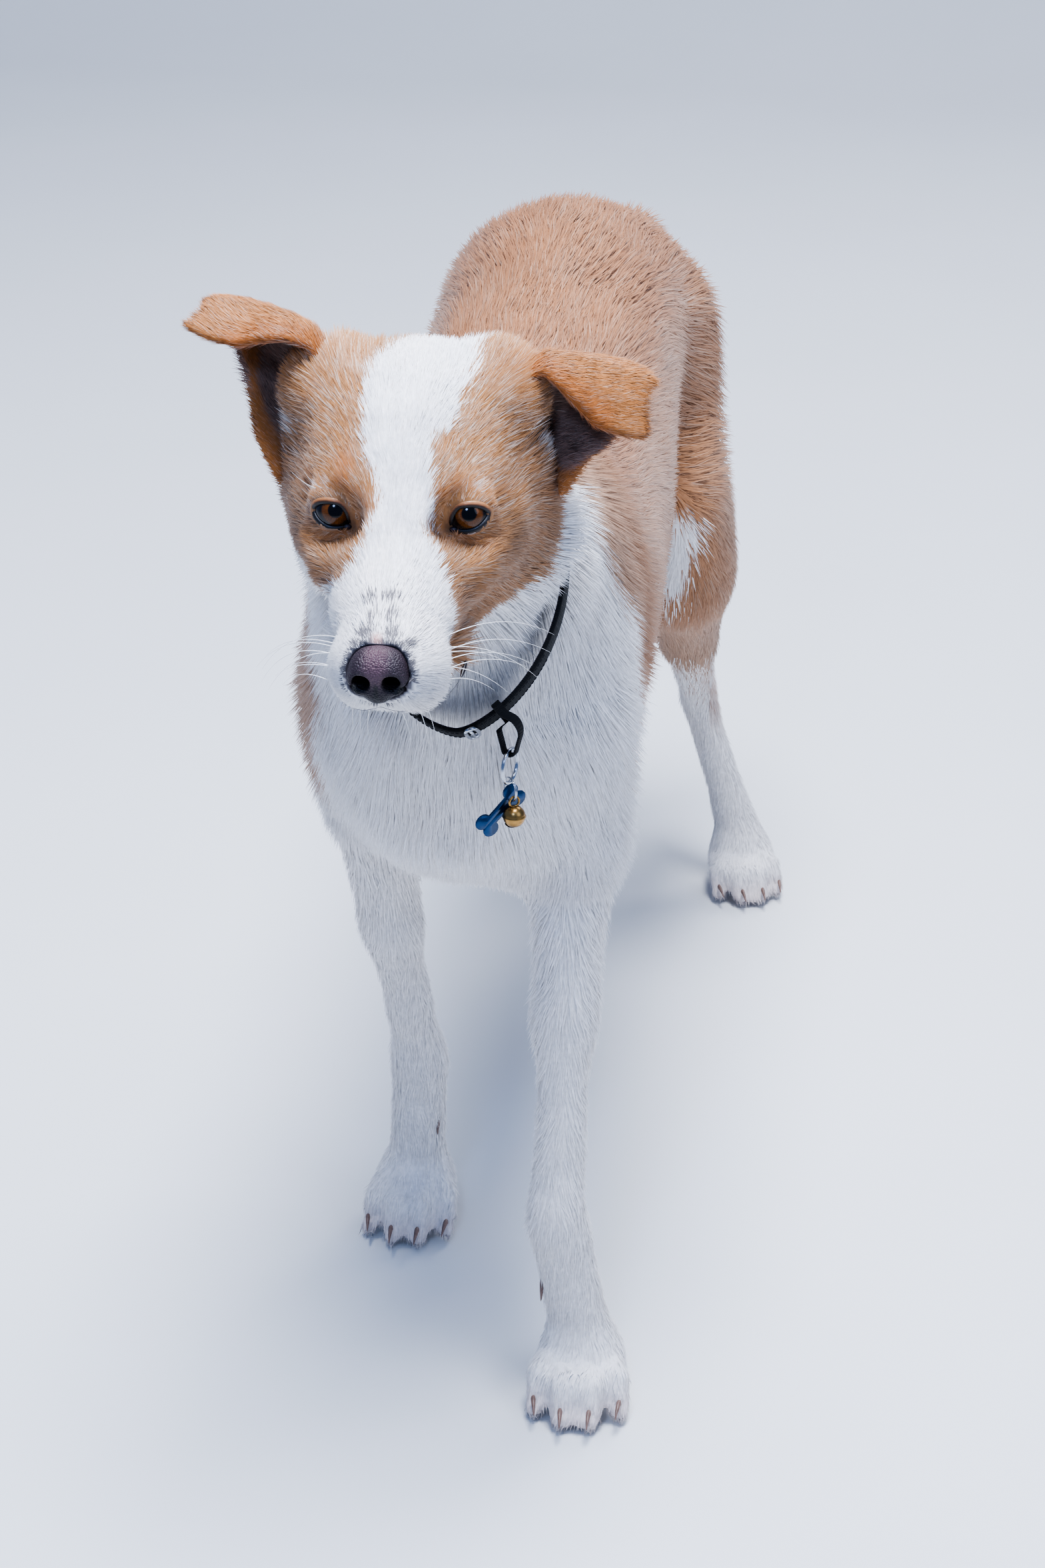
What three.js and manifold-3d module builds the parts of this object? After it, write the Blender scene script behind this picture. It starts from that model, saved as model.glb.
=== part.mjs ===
// A life-size standing dog: a medium, smooth-coated crossbreed with half-folded ears, in mid-stride.
// Millimetres, +Z up. The dog faces -Y and its left side is +X. The origin is on the floor, in the middle of
// its box. The flesh is one smooth field of bones and muscles, turned into faces at a size that suits each
// part, then parted with thin flat cuts. The surface is that of the coat.
import * as THREE from "three";
import { mergeVertices } from "three/addons/utils/BufferGeometryUtils.js";
import { MeshoptSimplifier } from "three/addons/libs/meshopt_simplifier.module.js";
import Module from "manifold-3d";

const wasm = await Module();
wasm.setup();
await MeshoptSimplifier.ready;

// Driving dimensions of the whole animal.
const CUT_GAP = 0.4; // between two parts of the flesh
const FIT_GAP = 0.3; // between a socket and what sits in it
const SIDES = { left: 1, right: -1 };
const bothSides = (make) => Object.values(SIDES).map(make);
const bothNames = (make) => Object.keys(SIDES).map(make);
const vec = (point) => new THREE.Vector3(...point);
const vec2 = (x, y) => new THREE.Vector2(x, y);
const TAU = 2 * Math.PI;
const RAD = Math.PI / 180;

// Colours, roughness and metalness.
const finish = (color, roughness, metalness = 0) =>
  new THREE.MeshStandardMaterial({ color, roughness, metalness });
const WHITE_COAT = finish(0xe9e6e2, 0.85);
const TAN_COAT = finish(0xc8966a, 0.85);
const EAR_COAT = finish(0xcf9358, 0.85);
const NOSE_LEATHER = finish(0x4a3438, 0.45);
const EYE_AMBER = finish(0x5a2f10, 0.08);
const CLAW_HORN = finish(0x6b5148, 0.5);
const BLACK_WEBBING = finish(0x17161a, 0.8);
const STEEL = finish(0xb9bcc2, 0.25, 1);
const BLUE_TAG = finish(0x123f6b, 0.35, 0.6);
const BRASS = finish(0xa98a55, 0.35, 1);

// ----------------------------------------------------------------------------------------------------
// Fields: each is a function of x, y, z that is about the distance to a surface, and negative inside it.

const length = (x, y, z) => Math.sqrt(x * x + y * y + z * z);

// Joins two distances with a fillet about k wide.
function blend(a, b, k) {
  const h = Math.max(k - Math.abs(a - b), 0) / k;
  return Math.min(a, b) - h * h * k * 0.25;
}

// Takes the second distance out of the first, with a fillet about k wide.
const carve = (a, b, k) => -blend(-a, b, k);

// An ellipsoid, turned about X by pitch degrees.
function ellipsoid([cx, cy, cz], [rx, ry, rz], pitch = 0) {
  const c = Math.cos(pitch * RAD);
  const s = Math.sin(pitch * RAD);
  return (x, y, z) => {
    const px = x - cx;
    const py = c * (y - cy) + s * (z - cz);
    const pz = -s * (y - cy) + c * (z - cz);
    const k0 = length(px / rx, py / ry, pz / rz);
    const k1 = length(px / rx / rx, py / ry / ry, pz / rz / rz);
    return k1 < 1e-9 ? -Math.min(rx, ry, rz) : (k0 * (k0 - 1)) / k1;
  };
}

// A limb from a to b whose radius runs from ra to rb. wide stretches its section along X.
function limb([ax, ay, az], ra, [bx, by, bz], rb, wide = 1) {
  const ux = (bx - ax) / wide;
  const [uy, uz] = [by - ay, bz - az];
  const uu = ux * ux + uy * uy + uz * uz;
  return (x, y, z) => {
    const px = (x - ax) / wide;
    const [py, pz] = [y - ay, z - az];
    const t = Math.min(1, Math.max(0, (px * ux + py * uy + pz * uz) / uu));
    return length(px - t * ux, py - t * uy, pz - t * uz) - (ra + t * (rb - ra));
  };
}

// All the fields of a list, joined with the same fillet.
const joined = (fields, k) => (x, y, z) => fields.reduce((d, f) => blend(d, f(x, y, z), k), 1e3);

// A field drawn in a local frame: point is where its origin goes, turn its rotation.
function placed(field, point, turn) {
  const m = new THREE.Matrix4().compose(point, turn, new THREE.Vector3(1, 1, 1)).invert().elements;
  return (x, y, z) =>
    field(
      m[0] * x + m[4] * y + m[8] * z + m[12],
      m[1] * x + m[5] * y + m[9] * z + m[13],
      m[2] * x + m[6] * y + m[10] * z + m[14],
    );
}

// ----------------------------------------------------------------------------------------------------
// Solids.

function solidOf(geometry) {
  const bare = new THREE.BufferGeometry().setAttribute("position", geometry.getAttribute("position").clone());
  if (geometry.index) bare.setIndex(geometry.index.clone());
  const merged = mergeVertices(bare, 1e-4);
  return new wasm.Manifold(
    new wasm.Mesh({
      numProp: 3,
      vertProperties: merged.attributes.position.array,
      triVerts: new Uint32Array(merged.index.array),
    }),
  );
}

function geometryOf(solid) {
  const mesh = solid.getMesh();
  const positions = new Float32Array(mesh.numVert * 3);
  for (let i = 0; i < mesh.numVert; i++) {
    positions.set(mesh.vertProperties.subarray(i * mesh.numProp, i * mesh.numProp + 3), i * 3);
  }
  return new THREE.BufferGeometry()
    .setAttribute("position", new THREE.BufferAttribute(positions, 3))
    .setIndex(new THREE.BufferAttribute(mesh.triVerts, 1));
}

// A solid whose surface is moved outward by distance, along the normals at its corners.
function grown(solid, distance) {
  const geometry = geometryOf(solid);
  geometry.computeVertexNormals();
  const [points, normals] = [geometry.getAttribute("position"), geometry.getAttribute("normal")];
  for (let i = 0; i < points.count; i++) {
    const normal = new THREE.Vector3().fromBufferAttribute(normals, i);
    const point = new THREE.Vector3().fromBufferAttribute(points, i).addScaledVector(normal, distance);
    points.setXYZ(i, ...point.toArray());
  }
  return solidOf(geometry);
}

// The surface of a field inside a box of cells, as surface nets: one vertex in each cell that it crosses.
function surfaceOf(field, [lx, ly, lz], [hx, hy, hz], cell) {
  const size = [hx - lx, hy - ly, hz - lz].map((d) => Math.ceil(d / cell) + 1);
  const [nx, ny, nz] = size;
  const at = (i, j, k) => i + nx * (j + ny * k);
  const value = new Float32Array(nx * ny * nz);
  for (let k = 0; k < nz; k++) {
    for (let j = 0; j < ny; j++) {
      for (let i = 0; i < nx; i++) {
        const edge = i === 0 || j === 0 || k === 0 || i === nx - 1 || j === ny - 1 || k === nz - 1;
        const d = field(lx + i * cell, ly + j * cell, lz + k * cell);
        value[at(i, j, k)] = edge ? Math.max(d, cell / 2) : d;
      }
    }
  }
  const corners = [...Array(8).keys()].map((c) => [c & 1, (c >> 1) & 1, (c >> 2) & 1]);
  const edges = corners.flatMap((_, c) => [1, 2, 4].filter((b) => !(c & b)).map((b) => [c, c | b]));
  const index = new Map();
  const positions = [];
  for (let k = 0; k < nz - 1; k++) {
    for (let j = 0; j < ny - 1; j++) {
      for (let i = 0; i < nx - 1; i++) {
        const d = corners.map(([a, b, c]) => value[at(i + a, j + b, k + c)]);
        const sum = [0, 0, 0];
        let count = 0;
        for (const [a, b] of edges) {
          if (d[a] < 0 === d[b] < 0) continue;
          const t = d[a] / (d[a] - d[b]);
          corners[a].forEach((v, n) => (sum[n] += v + t * (corners[b][n] - v)));
          count++;
        }
        if (!count) continue;
        index.set(at(i, j, k), positions.length / 3);
        positions.push(...[i, j, k].map((v, n) => [lx, ly, lz][n] + (v + sum[n] / count) * cell));
      }
    }
  }
  const faces = [];
  const step = [at(1, 0, 0), at(0, 1, 0), at(0, 0, 1)];
  for (let k = 0; k < nz - 1; k++) {
    for (let j = 0; j < ny - 1; j++) {
      for (let i = 0; i < nx - 1; i++) {
        const here = at(i, j, k);
        for (let axis = 0; axis < 3; axis++) {
          const inside = value[here] < 0;
          if (inside === value[here + step[axis]] < 0) continue;
          const [u, v] = [step[(axis + 1) % 3], step[(axis + 2) % 3]];
          const quad = [here - u - v, here - v, here, here - u].map((c) => index.get(c));
          if (!inside) quad.reverse();
          faces.push(quad[0], quad[1], quad[2], quad[0], quad[2], quad[3]);
        }
      }
    }
  }
  return new THREE.BufferGeometry()
    .setAttribute("position", new THREE.BufferAttribute(new Float32Array(positions), 3))
    .setIndex(faces);
}

// The same surface with as few faces as keep it within error millimetres.
function simplified(geometry, error) {
  const positions = geometry.getAttribute("position").array;
  const [faces] = MeshoptSimplifier.simplify(new Uint32Array(geometry.index.array), positions, 3, 0, error, [
    "ErrorAbsolute",
  ]);
  return new THREE.BufferGeometry()
    .setAttribute("position", new THREE.BufferAttribute(positions, 3))
    .setIndex(new THREE.BufferAttribute(faces, 1))
    .toNonIndexed();
}

// ----------------------------------------------------------------------------------------------------
// The head, in its own frame: its origin is midway between the eyeballs, -Y towards the nose.

const HEAD = { place: new THREE.Vector3(-5.5, -311, 535), pitch: 13, yaw: 3, roll: -1 };
const headTurn = new THREE.Quaternion().setFromEuler(
  new THREE.Euler(HEAD.pitch * RAD, HEAD.roll * RAD, HEAD.yaw * RAD, "ZXY"),
);
const EYE = { radius: 10.5, at: [32.4, -4.3, -1] };
const NOSE = { at: [0, -97, -30], half: [15.5, 11, 12.5] };

function headField() {
  const skull = joined(
    [ellipsoid([0, 40, 6], [50, 56, 48]), limb([0, -10, -8], 23, [0, 28, 6], 34, 1.25)],
    22,
  );
  const muzzle = joined(
    [
      limb([0, -4, -30], 33, [0, -84, -36], 22, 1.2),
      ...bothSides((s) => ellipsoid([15 * s, -83, -38], [15, 19, 18])),
    ],
    12,
  );
  const jaw = joined(
    [
      limb([0, -78, -54], 9, [0, -8, -58], 17, 1.35),
      ...bothSides((s) => limb([12 * s, -20, -58], 15, [32 * s, 30, -50], 20)),
    ],
    14,
  );
  const cheeks = joined(
    [
      ...bothSides((s) => ellipsoid([37 * s, 30, -22], [24, 38, 33])), // jaw muscle
      ...bothSides((s) => limb([30 * s, -12, -22], 13, [44 * s, 38, -10], 16)), // cheekbone
      ...bothSides((s) => ellipsoid([22 * s, 6, 7], [18, 22, 14])), // brow
      ...bothSides((s) => ellipsoid([41 * s, 50, 33], [19, 22, 22])), // root of the ear
    ],
    14,
  );
  const [eyeX, eyeY, eyeZ] = EYE.at;
  const orbits = bothSides((s) => ellipsoid([(eyeX + 1.5) * s, eyeY - 18, eyeZ + 3], [15, 13, 12.5]));
  return (x, y, z) => {
    const front = blend(muzzle(x, y, z), jaw(x, y, z), 10);
    const whole = blend(blend(skull(x, y, z), front, 26), cheeks(x, y, z), 20);
    return orbits.reduce((d, orbit) => carve(d, orbit(x, y, z), 7), whole);
  };
}

// ----------------------------------------------------------------------------------------------------
// Trunk and neck: sections along Y. Each station gives the middle, half width, top and bottom of the body.

const STATIONS = [
  { y: -236, x: 0, half: 30, top: 400, bottom: 325 },
  { y: -205, x: 0, half: 64, top: 470, bottom: 282 },
  { y: -150, x: 1, half: 84, top: 532, bottom: 254 },
  { y: -60, x: 2, half: 90, top: 528, bottom: 254 },
  { y: 40, x: -4, half: 89, top: 518, bottom: 268 },
  { y: 140, x: -11, half: 87, top: 520, bottom: 304 },
  { y: 230, x: -19, half: 85, top: 527, bottom: 342 },
  { y: 320, x: -23, half: 83, top: 523, bottom: 350 },
  { y: 385, x: -18, half: 72, top: 500, bottom: 352 },
  { y: 428, x: -6, half: 42, top: 464, bottom: 385 },
];
const FRONT_END = -240;
const BACK_END = 436;

// One value of the stations as a function of y, along a smooth curve.
function stationCurve(key) {
  const points = new THREE.SplineCurve(STATIONS.map((s) => new THREE.Vector2(s.y, s[key]))).getPoints(300);
  return (y) => {
    const at = Math.min(BACK_END, Math.max(FRONT_END, y));
    let i = points.findIndex((p) => p.x > at);
    if (i < 0) i = points.length - 1;
    if (i === 0) return points[0].y;
    const [a, b] = [points[i - 1], points[i]];
    return a.y + ((b.y - a.y) * (at - a.x)) / (b.x - a.x);
  };
}

function trunkField() {
  const curves = ["x", "half", "top", "bottom"].map(stationCurve);
  let [lastY, section] = [NaN, null];
  return (x, y, z) => {
    if (y !== lastY) [lastY, section] = [y, curves.map((curve) => curve(y))];
    const [shift, half, top, bottom] = section;
    const middle = bottom + (top - bottom) * 0.56;
    const tall = z > middle ? top - middle : middle - bottom;
    const across = x - shift;
    const k0 = Math.hypot(across / half, (z - middle) / tall);
    const k1 = Math.hypot(across / half / half, (z - middle) / tall / tall);
    const inSection = k1 < 1e-9 ? -Math.min(half, tall) : (k0 * (k0 - 1)) / k1;
    return Math.max(inSection, y - BACK_END, FRONT_END - y);
  };
}

const NECK = { nape: [0, -214, 524], base: [0, -120, 420], throat: [0, -250, 474], breast: [0, -200, 368] };

function neckField() {
  return joined(
    [
      limb(NECK.nape, 50, NECK.base, 80),
      limb(NECK.throat, 46, NECK.breast, 66, 1.14),
      ellipsoid([0, -186, 452], [80, 72, 84], -25), // ruff
      ...bothSides((s) => ellipsoid([40 * s, -242, 500], [42, 30, 40], -20)), // ruff behind the cheeks
    ],
    30,
  );
}

// ----------------------------------------------------------------------------------------------------
// Legs. Each is a chain of joints.

const FORELEGS = {
  left: {
    shoulder: [55, -186, 376],
    elbow: [59, -192, 290],
    wrist: [62, -252, 108],
    foot: [77, -262, 0],
    yaw: 4,
  },
  right: {
    shoulder: [-56, -168, 376],
    elbow: [-60, -152, 290],
    wrist: [-47, -88, 110],
    foot: [-50, -93, 0],
    yaw: 2,
  },
};
const HINDLEGS = {
  left: { hip: [34, 330, 430], knee: [59, 262, 284], hock: [56, 402, 140], foot: [91, 388, 0], yaw: 20 },
  right: { hip: [-50, 340, 430], knee: [-70, 292, 280], hock: [-62, 462, 150], foot: [-70, 462, 0], yaw: -8 },
};
const FORE_PAW = 1.0;
const HIND_PAW = 0.93;

// The toes in the paw's own frame, on the floor and pointing to -Y, from the inner to the outer one.
const TOES = [-1.5, -0.5, 0.5, 1.5].map((place) => {
  const outer = Math.abs(place) > 1;
  return { x: place * 12.8, base: outer ? -2 : -6, tip: outer ? -27 : -38, spread: place * 3 };
});
const TOE = { radius: 9.2, knuckle: 22, tipRadius: 8, tipHeight: 6.4 };

function pawField(size) {
  const toes = TOES.map(({ x, base, tip, spread }) => {
    const knuckle = [x + spread * 0.3, tip + 14, TOE.knuckle];
    return joined(
      [
        limb([x * 0.8, base + 8, TOE.knuckle], 9, knuckle, TOE.radius),
        limb(knuckle, TOE.radius, [x + spread, tip + 2, TOE.tipHeight], TOE.tipRadius),
      ],
      6,
    );
  });
  const back = joined([ellipsoid([0, 10, 24], [24, 24, 20]), ellipsoid([0, 10, 8], [20, 18, 12])], 12);
  const digits = joined(toes, 3.5);
  return (x, y, z) => {
    const local = [x / size, y / size, z / size];
    return size * blend(back(...local), digits(...local), 9);
  };
}

const pawPlace = ({ foot, yaw }) => ({
  point: new THREE.Vector3(...foot),
  turn: new THREE.Quaternion().setFromAxisAngle(new THREE.Vector3(0, 0, 1), yaw * RAD),
});

function forelegField(side) {
  const { shoulder, elbow, wrist, foot, yaw } = FORELEGS[side];
  const along = (t) => elbow.map((v, i) => v + (wrist[i] - v) * t);
  const arm = [
    limb([shoulder[0] * 0.82, shoulder[1] + 28, 455], 32, shoulder, 39),
    limb(shoulder, 40, [elbow[0], elbow[1] + 10, elbow[2] + 18], 32),
  ];
  const forearm = [
    limb([elbow[0], elbow[1] + 6, elbow[2] + 4], 28, along(0.42), 20.5),
    limb(along(0.42), 20.5, along(0.78), 15.5),
    limb(along(0.78), 15.5, wrist, 17.5),
    ellipsoid([elbow[0] + 3 * SIDES[side], elbow[1] + 26, elbow[2] + 6], [13, 14, 20]), // point of the elbow
    limb(wrist, 17.5, [foot[0], foot[1] + 8, 32], 18, 1.08), // pastern
  ];
  const { point, turn } = pawPlace({ foot, yaw });
  return joined([...arm, joined(forearm, 14), placed(pawField(FORE_PAW), point, turn)], 12);
}

function hindlegField(side) {
  const { hip, knee, hock, foot, yaw } = HINDLEGS[side];
  const inward = -4 * SIDES[side];
  const thigh = [
    limb(hip, 46, knee, 34),
    limb([hip[0] + inward, hip[1] + 48, hip[2] - 26], 38, [knee[0] + inward, knee[1] + 62, knee[2] - 14], 25),
    ellipsoid([knee[0], knee[1] + 8, knee[2] + 30], [30, 46, 62], 20),
  ];
  const mid = knee.map((v, i) => (v + hock[i]) / 2);
  const shank = [
    limb([knee[0], knee[1] + 12, knee[2] - 6], 35, mid, 23),
    limb(mid, 22, hock, 14.5),
    limb([mid[0], mid[1] + 26, mid[2] + 24], 12, [hock[0], hock[1] + 22, hock[2] + 12], 8.5), // heel tendon
    ellipsoid([hock[0], hock[1] + 16, hock[2] + 8], [11, 13, 15]), // point of the hock
    limb(hock, 15, [foot[0], foot[1] + 10, 32], 18),
  ];
  const { point, turn } = pawPlace({ foot, yaw });
  return joined([joined(thigh, 30), joined(shank, 12), placed(pawField(HIND_PAW), point, turn)], 16);
}

// ----------------------------------------------------------------------------------------------------
// The tail hangs in a shallow curve.

const TAIL = [
  { at: [3, 418, 470], radius: 27 },
  { at: [6, 452, 420], radius: 24 },
  { at: [6, 470, 350], radius: 25 },
  { at: [4, 476, 270], radius: 23 },
  { at: [0, 486, 205], radius: 15 },
  { at: [-3, 497, 168], radius: 5 },
];

const tailField = () =>
  joined(TAIL.slice(1).map((next, i) => limb(TAIL[i].at, TAIL[i].radius, next.at, next.radius)), 14);

// ----------------------------------------------------------------------------------------------------
// The whole flesh.

const head = placed(headField(), HEAD.place, headTurn);
const trunk = trunkField();
const neck = neckField();
const tail = tailField();
const forelegs = bothNames((side) => forelegField(side));
const hindlegs = bothNames((side) => hindlegField(side));

function flesh(x, y, z) {
  let d = blend(trunk(x, y, z), neck(x, y, z), 46);
  for (const leg of forelegs) d = blend(d, leg(x, y, z), 24);
  for (const leg of hindlegs) d = blend(d, leg(x, y, z), 30);
  d = blend(d, tail(x, y, z), 14);
  return blend(d, head(x, y, z), 26);
}

// ----------------------------------------------------------------------------------------------------
// Ears. Each is a leaf of skin, lofted through curves from its root to its tip, in the head's frame with x
// outward: rim is the lower margin, ridge the fold along the top, edge the margin of the flap that hangs over
// in front. Behind, the leaf bulges back by cup, which fades to nothing at the tip.

const EARS = {
  left: {
    rim: [[72, 34, -16], [82, 40, 0], [92, 48, 6], [102, 52, 20], [112, 52, 37]],
    ridge: [[40, 54, 38], [62, 58, 51], [82, 62, 48], [100, 61, 45], [114, 56, 41]],
    edge: [[42, 42, 34], [62, 43, 50], [76, 36, 43], [92, 33, 25], [114, 37, 17]],
    cup: 24,
  },
  right: {
    rim: [[66, 32, -12], [77, 38, 12], [79, 46, 30], [86, 54, 56], [98, 54, 72]],
    ridge: [[38, 54, 40], [46, 56, 62], [62, 60, 70], [80, 62, 74], [96, 60, 78]],
    edge: [[40, 42, 36], [46, 42, 59], [62, 38, 68], [84, 37, 64], [107, 38, 73]],
    cup: 22,
  },
};
const EAR = { thick: 4.4, margin: 2.6, along: 7, across: 7 };
const smooth = (points) => new THREE.CatmullRomCurve3(points, false, "centripetal");

function earGeometry({ rim, ridge, edge, cup }, side) {
  const curves = [rim, ridge, edge].map((points) => smooth(points.map(vec)));
  const rows = [];
  for (let i = 0; i <= EAR.along; i++) {
    const t = i / EAR.along;
    const [low, top, front] = curves.map((curve) => curve.getPoint(t));
    const deep = cup * Math.sqrt(1 - t * t);
    const back = low.clone().lerp(top, 0.5).add(vec([4, deep, 0]));
    const section = smooth([low, back, top, front]);
    rows.push([...Array(EAR.across + 1).keys()].map((j) => section.getPoint(j / EAR.across)));
  }
  const thinning = (u, v) => Math.max(u ** 3, (2 * v - 1) ** 6);
  return sheet(rows, (u, v) => EAR.thick + (EAR.margin - EAR.thick) * thinning(u, v), side);
}

// A closed sheet over rows of points, as thick as the function says. A side of -1 mirrors it to the right.
function sheet(rows, thickness, side) {
  const [n, m] = [rows.length, rows[0].length];
  const clamp = (i, max) => Math.min(max, Math.max(0, i));
  const at = (i, j) => rows[clamp(i, n - 1)][clamp(j, m - 1)];
  const positions = [];
  for (const face of [1, -1]) {
    rows.forEach((row, i) =>
      row.forEach((p, j) => {
        const du = at(i + 1, j).clone().sub(at(i - 1, j));
        const dv = at(i, j + 1).clone().sub(at(i, j - 1));
        const normal = du.cross(dv).normalize();
        const q = p.clone().addScaledVector(normal, (face * thickness(i / (n - 1), j / (m - 1))) / 2);
        positions.push(q.x * side, q.y, q.z);
      }),
    );
  }
  const id = (face, i, j) => face * n * m + i * m + j;
  const faces = [];
  const quad = (a, b, c, d) => faces.push(...(side > 0 ? [a, b, c, a, c, d] : [a, c, b, a, d, c]));
  for (let i = 0; i < n - 1; i++) {
    for (let j = 0; j < m - 1; j++) {
      quad(id(0, i, j), id(0, i + 1, j), id(0, i + 1, j + 1), id(0, i, j + 1));
      quad(id(1, i, j), id(1, i, j + 1), id(1, i + 1, j + 1), id(1, i + 1, j));
    }
    quad(id(0, i, 0), id(1, i, 0), id(1, i + 1, 0), id(0, i + 1, 0));
    quad(id(0, i, m - 1), id(0, i + 1, m - 1), id(1, i + 1, m - 1), id(1, i, m - 1));
  }
  for (let j = 0; j < m - 1; j++) {
    quad(id(0, 0, j), id(0, 0, j + 1), id(1, 0, j + 1), id(1, 0, j));
    quad(id(0, n - 1, j), id(1, n - 1, j), id(1, n - 1, j + 1), id(0, n - 1, j + 1));
  }
  return new THREE.BufferGeometry()
    .setAttribute("position", new THREE.BufferAttribute(new Float32Array(positions), 3))
    .setIndex(faces);
}

// ----------------------------------------------------------------------------------------------------
// Collar: a band round the neck in a plane that slopes up to the nape, drawn out in front by its load.

const COLLAR = {
  front: vec([16, -284, 405]),
  back: vec([-6, -190, 548]),
  halfAcross: 57,
  width: 15,
  thick: 2.6,
  sharpness: 1.3,
  steps: 32,
};

// The band's own frame: X along its long axis from the front, Y across, Z along the neck.
function collarFrame() {
  const long = COLLAR.back.clone().sub(COLLAR.front).normalize();
  const along = new THREE.Vector3(1, 0, 0).cross(long).normalize();
  const across = along.clone().cross(long);
  const middle = COLLAR.front.clone().add(COLLAR.back).multiplyScalar(0.5);
  return new THREE.Matrix4().makeBasis(long, across, along).setPosition(middle);
}

function collarLoop(offset) {
  const half = COLLAR.front.distanceTo(COLLAR.back) / 2;
  const point = (a) => {
    const power = Math.cos(a) > 0 ? 1 : COLLAR.sharpness;
    const across = Math.sign(Math.sin(a)) * Math.abs(Math.sin(a)) ** power;
    return new THREE.Vector2(half * Math.cos(a), COLLAR.halfAcross * across);
  };
  return [...Array(COLLAR.steps).keys()].map((i) => {
    const a = ((i + 0.5) / COLLAR.steps) * TAU;
    const run = point(a + 0.05).sub(point(a - 0.05)).normalize();
    return point(a).add(new THREE.Vector2(run.y, -run.x).multiplyScalar(offset));
  });
}

function collarBand(inner, outer, width) {
  const shape = new THREE.Shape(collarLoop(outer));
  shape.holes.push(new THREE.Path(collarLoop(inner)));
  return new THREE.ExtrudeGeometry(shape, { depth: width, bevelEnabled: false })
    .translate(0, 0, -width / 2)
    .applyMatrix4(collarFrame());
}

// What hangs in front: a loop of the same webbing, a welded ring, a split ring, a tag in the shape of a bone
// and a bell. Each ring hangs on the one above it by its own wire. The loop is some steps of the band off its
// lowest point, and hangs straight down below its bend.
const HANG = {
  loop: { steps: 2, width: 5, thick: 1.3, drop: 24, bight: 3, bend: 6, slack: 1.2 },
  ring: { radius: 8.8, wire: 1.1, turn: 75 },
  split: { radius: 6.2, wire: 0.7, turn: 130 },
  tag: { length: 30, lobe: 4.3, apart: 3.7, thick: 1.5, hole: 1.5, inset: 2.4, aside: 7 },
  bell: { radius: 5.8, eye: 2.8, wire: 0.6 },
};

function ringGeometry(center, { radius, wire, turn }) {
  return new THREE.TorusGeometry(radius, wire, 5, 16)
    .rotateX(TAU / 4)
    .rotateZ(turn * RAD)
    .translate(...center.toArray());
}

// Where the loop wraps the band: the point on it, and the directions across, outward from and along the band.
function hangFrame() {
  const frame = collarFrame();
  const place = (offset) => {
    const p = collarLoop(offset)[COLLAR.steps / 2 + HANG.loop.steps];
    return new THREE.Vector3(p.x, p.y, 0).applyMatrix4(frame);
  };
  const at = place(COLLAR.thick / 2);
  const out = place(COLLAR.thick / 2 + 1).sub(at).normalize();
  const wide = new THREE.Vector3(0, 0, 1).transformDirection(frame);
  return { at, wide, out, run: wide.clone().cross(out) };
}

// A point of the loop's middle line, low millimetres below the band, and the loop's directions there.
function onLoop(low) {
  const { at, out, run } = hangFrame();
  const { bend } = HANG.loop;
  const down = vec([0, 0, -1]);
  const point = at.clone().addScaledVector(out, Math.min(low, bend));
  point.addScaledVector(down, Math.max(0, low - bend));
  const t = Math.min(1, Math.max(0, (low - bend / 2) / (1.6 * bend)));
  const wire = vec([Math.cos(HANG.ring.turn * RAD), Math.sin(HANG.ring.turn * RAD), 0]);
  const width = run.clone().lerp(wire.multiplyScalar(Math.sign(wire.dot(run))), t).normalize();
  const across = out.clone().lerp(down, t).cross(width).normalize();
  return { point, across, width };
}

function loopGeometry() {
  const { thick, drop, bight, width, slack } = HANG.loop;
  const outline = (grow) => {
    const high = COLLAR.thick / 2 + slack + grow;
    const top = vec2(COLLAR.width / 2 + slack + grow, high);
    const foot = vec2(bight + grow, drop - bight);
    const side = [0, 0.25, 0.5, 0.75].map((t) => top.clone().lerp(foot, t));
    const round = [0, 30, 60].map((a) => {
      const radius = bight + grow;
      return vec2(radius * Math.cos(a * RAD), drop - bight + radius * Math.sin(a * RAD));
    });
    const right = [vec2(top.x, -high), ...side, ...round];
    const left = right.map(({ x, y }) => vec2(-x, y)).reverse();
    return [...right, vec2(0, drop + grow), ...left];
  };
  const shape = new THREE.Shape(outline(thick));
  shape.holes.push(new THREE.Path(outline(0)));
  const geometry = new THREE.ExtrudeGeometry(shape, { depth: width, bevelEnabled: false });
  const positions = geometry.getAttribute("position");
  for (let i = 0; i < positions.count; i++) {
    const { point, across, width: along } = onLoop(positions.getY(i));
    point.addScaledVector(across, positions.getX(i)).addScaledVector(along, positions.getZ(i) - width / 2);
    positions.setXYZ(i, ...point.toArray());
  }
  return geometry;
}

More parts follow.
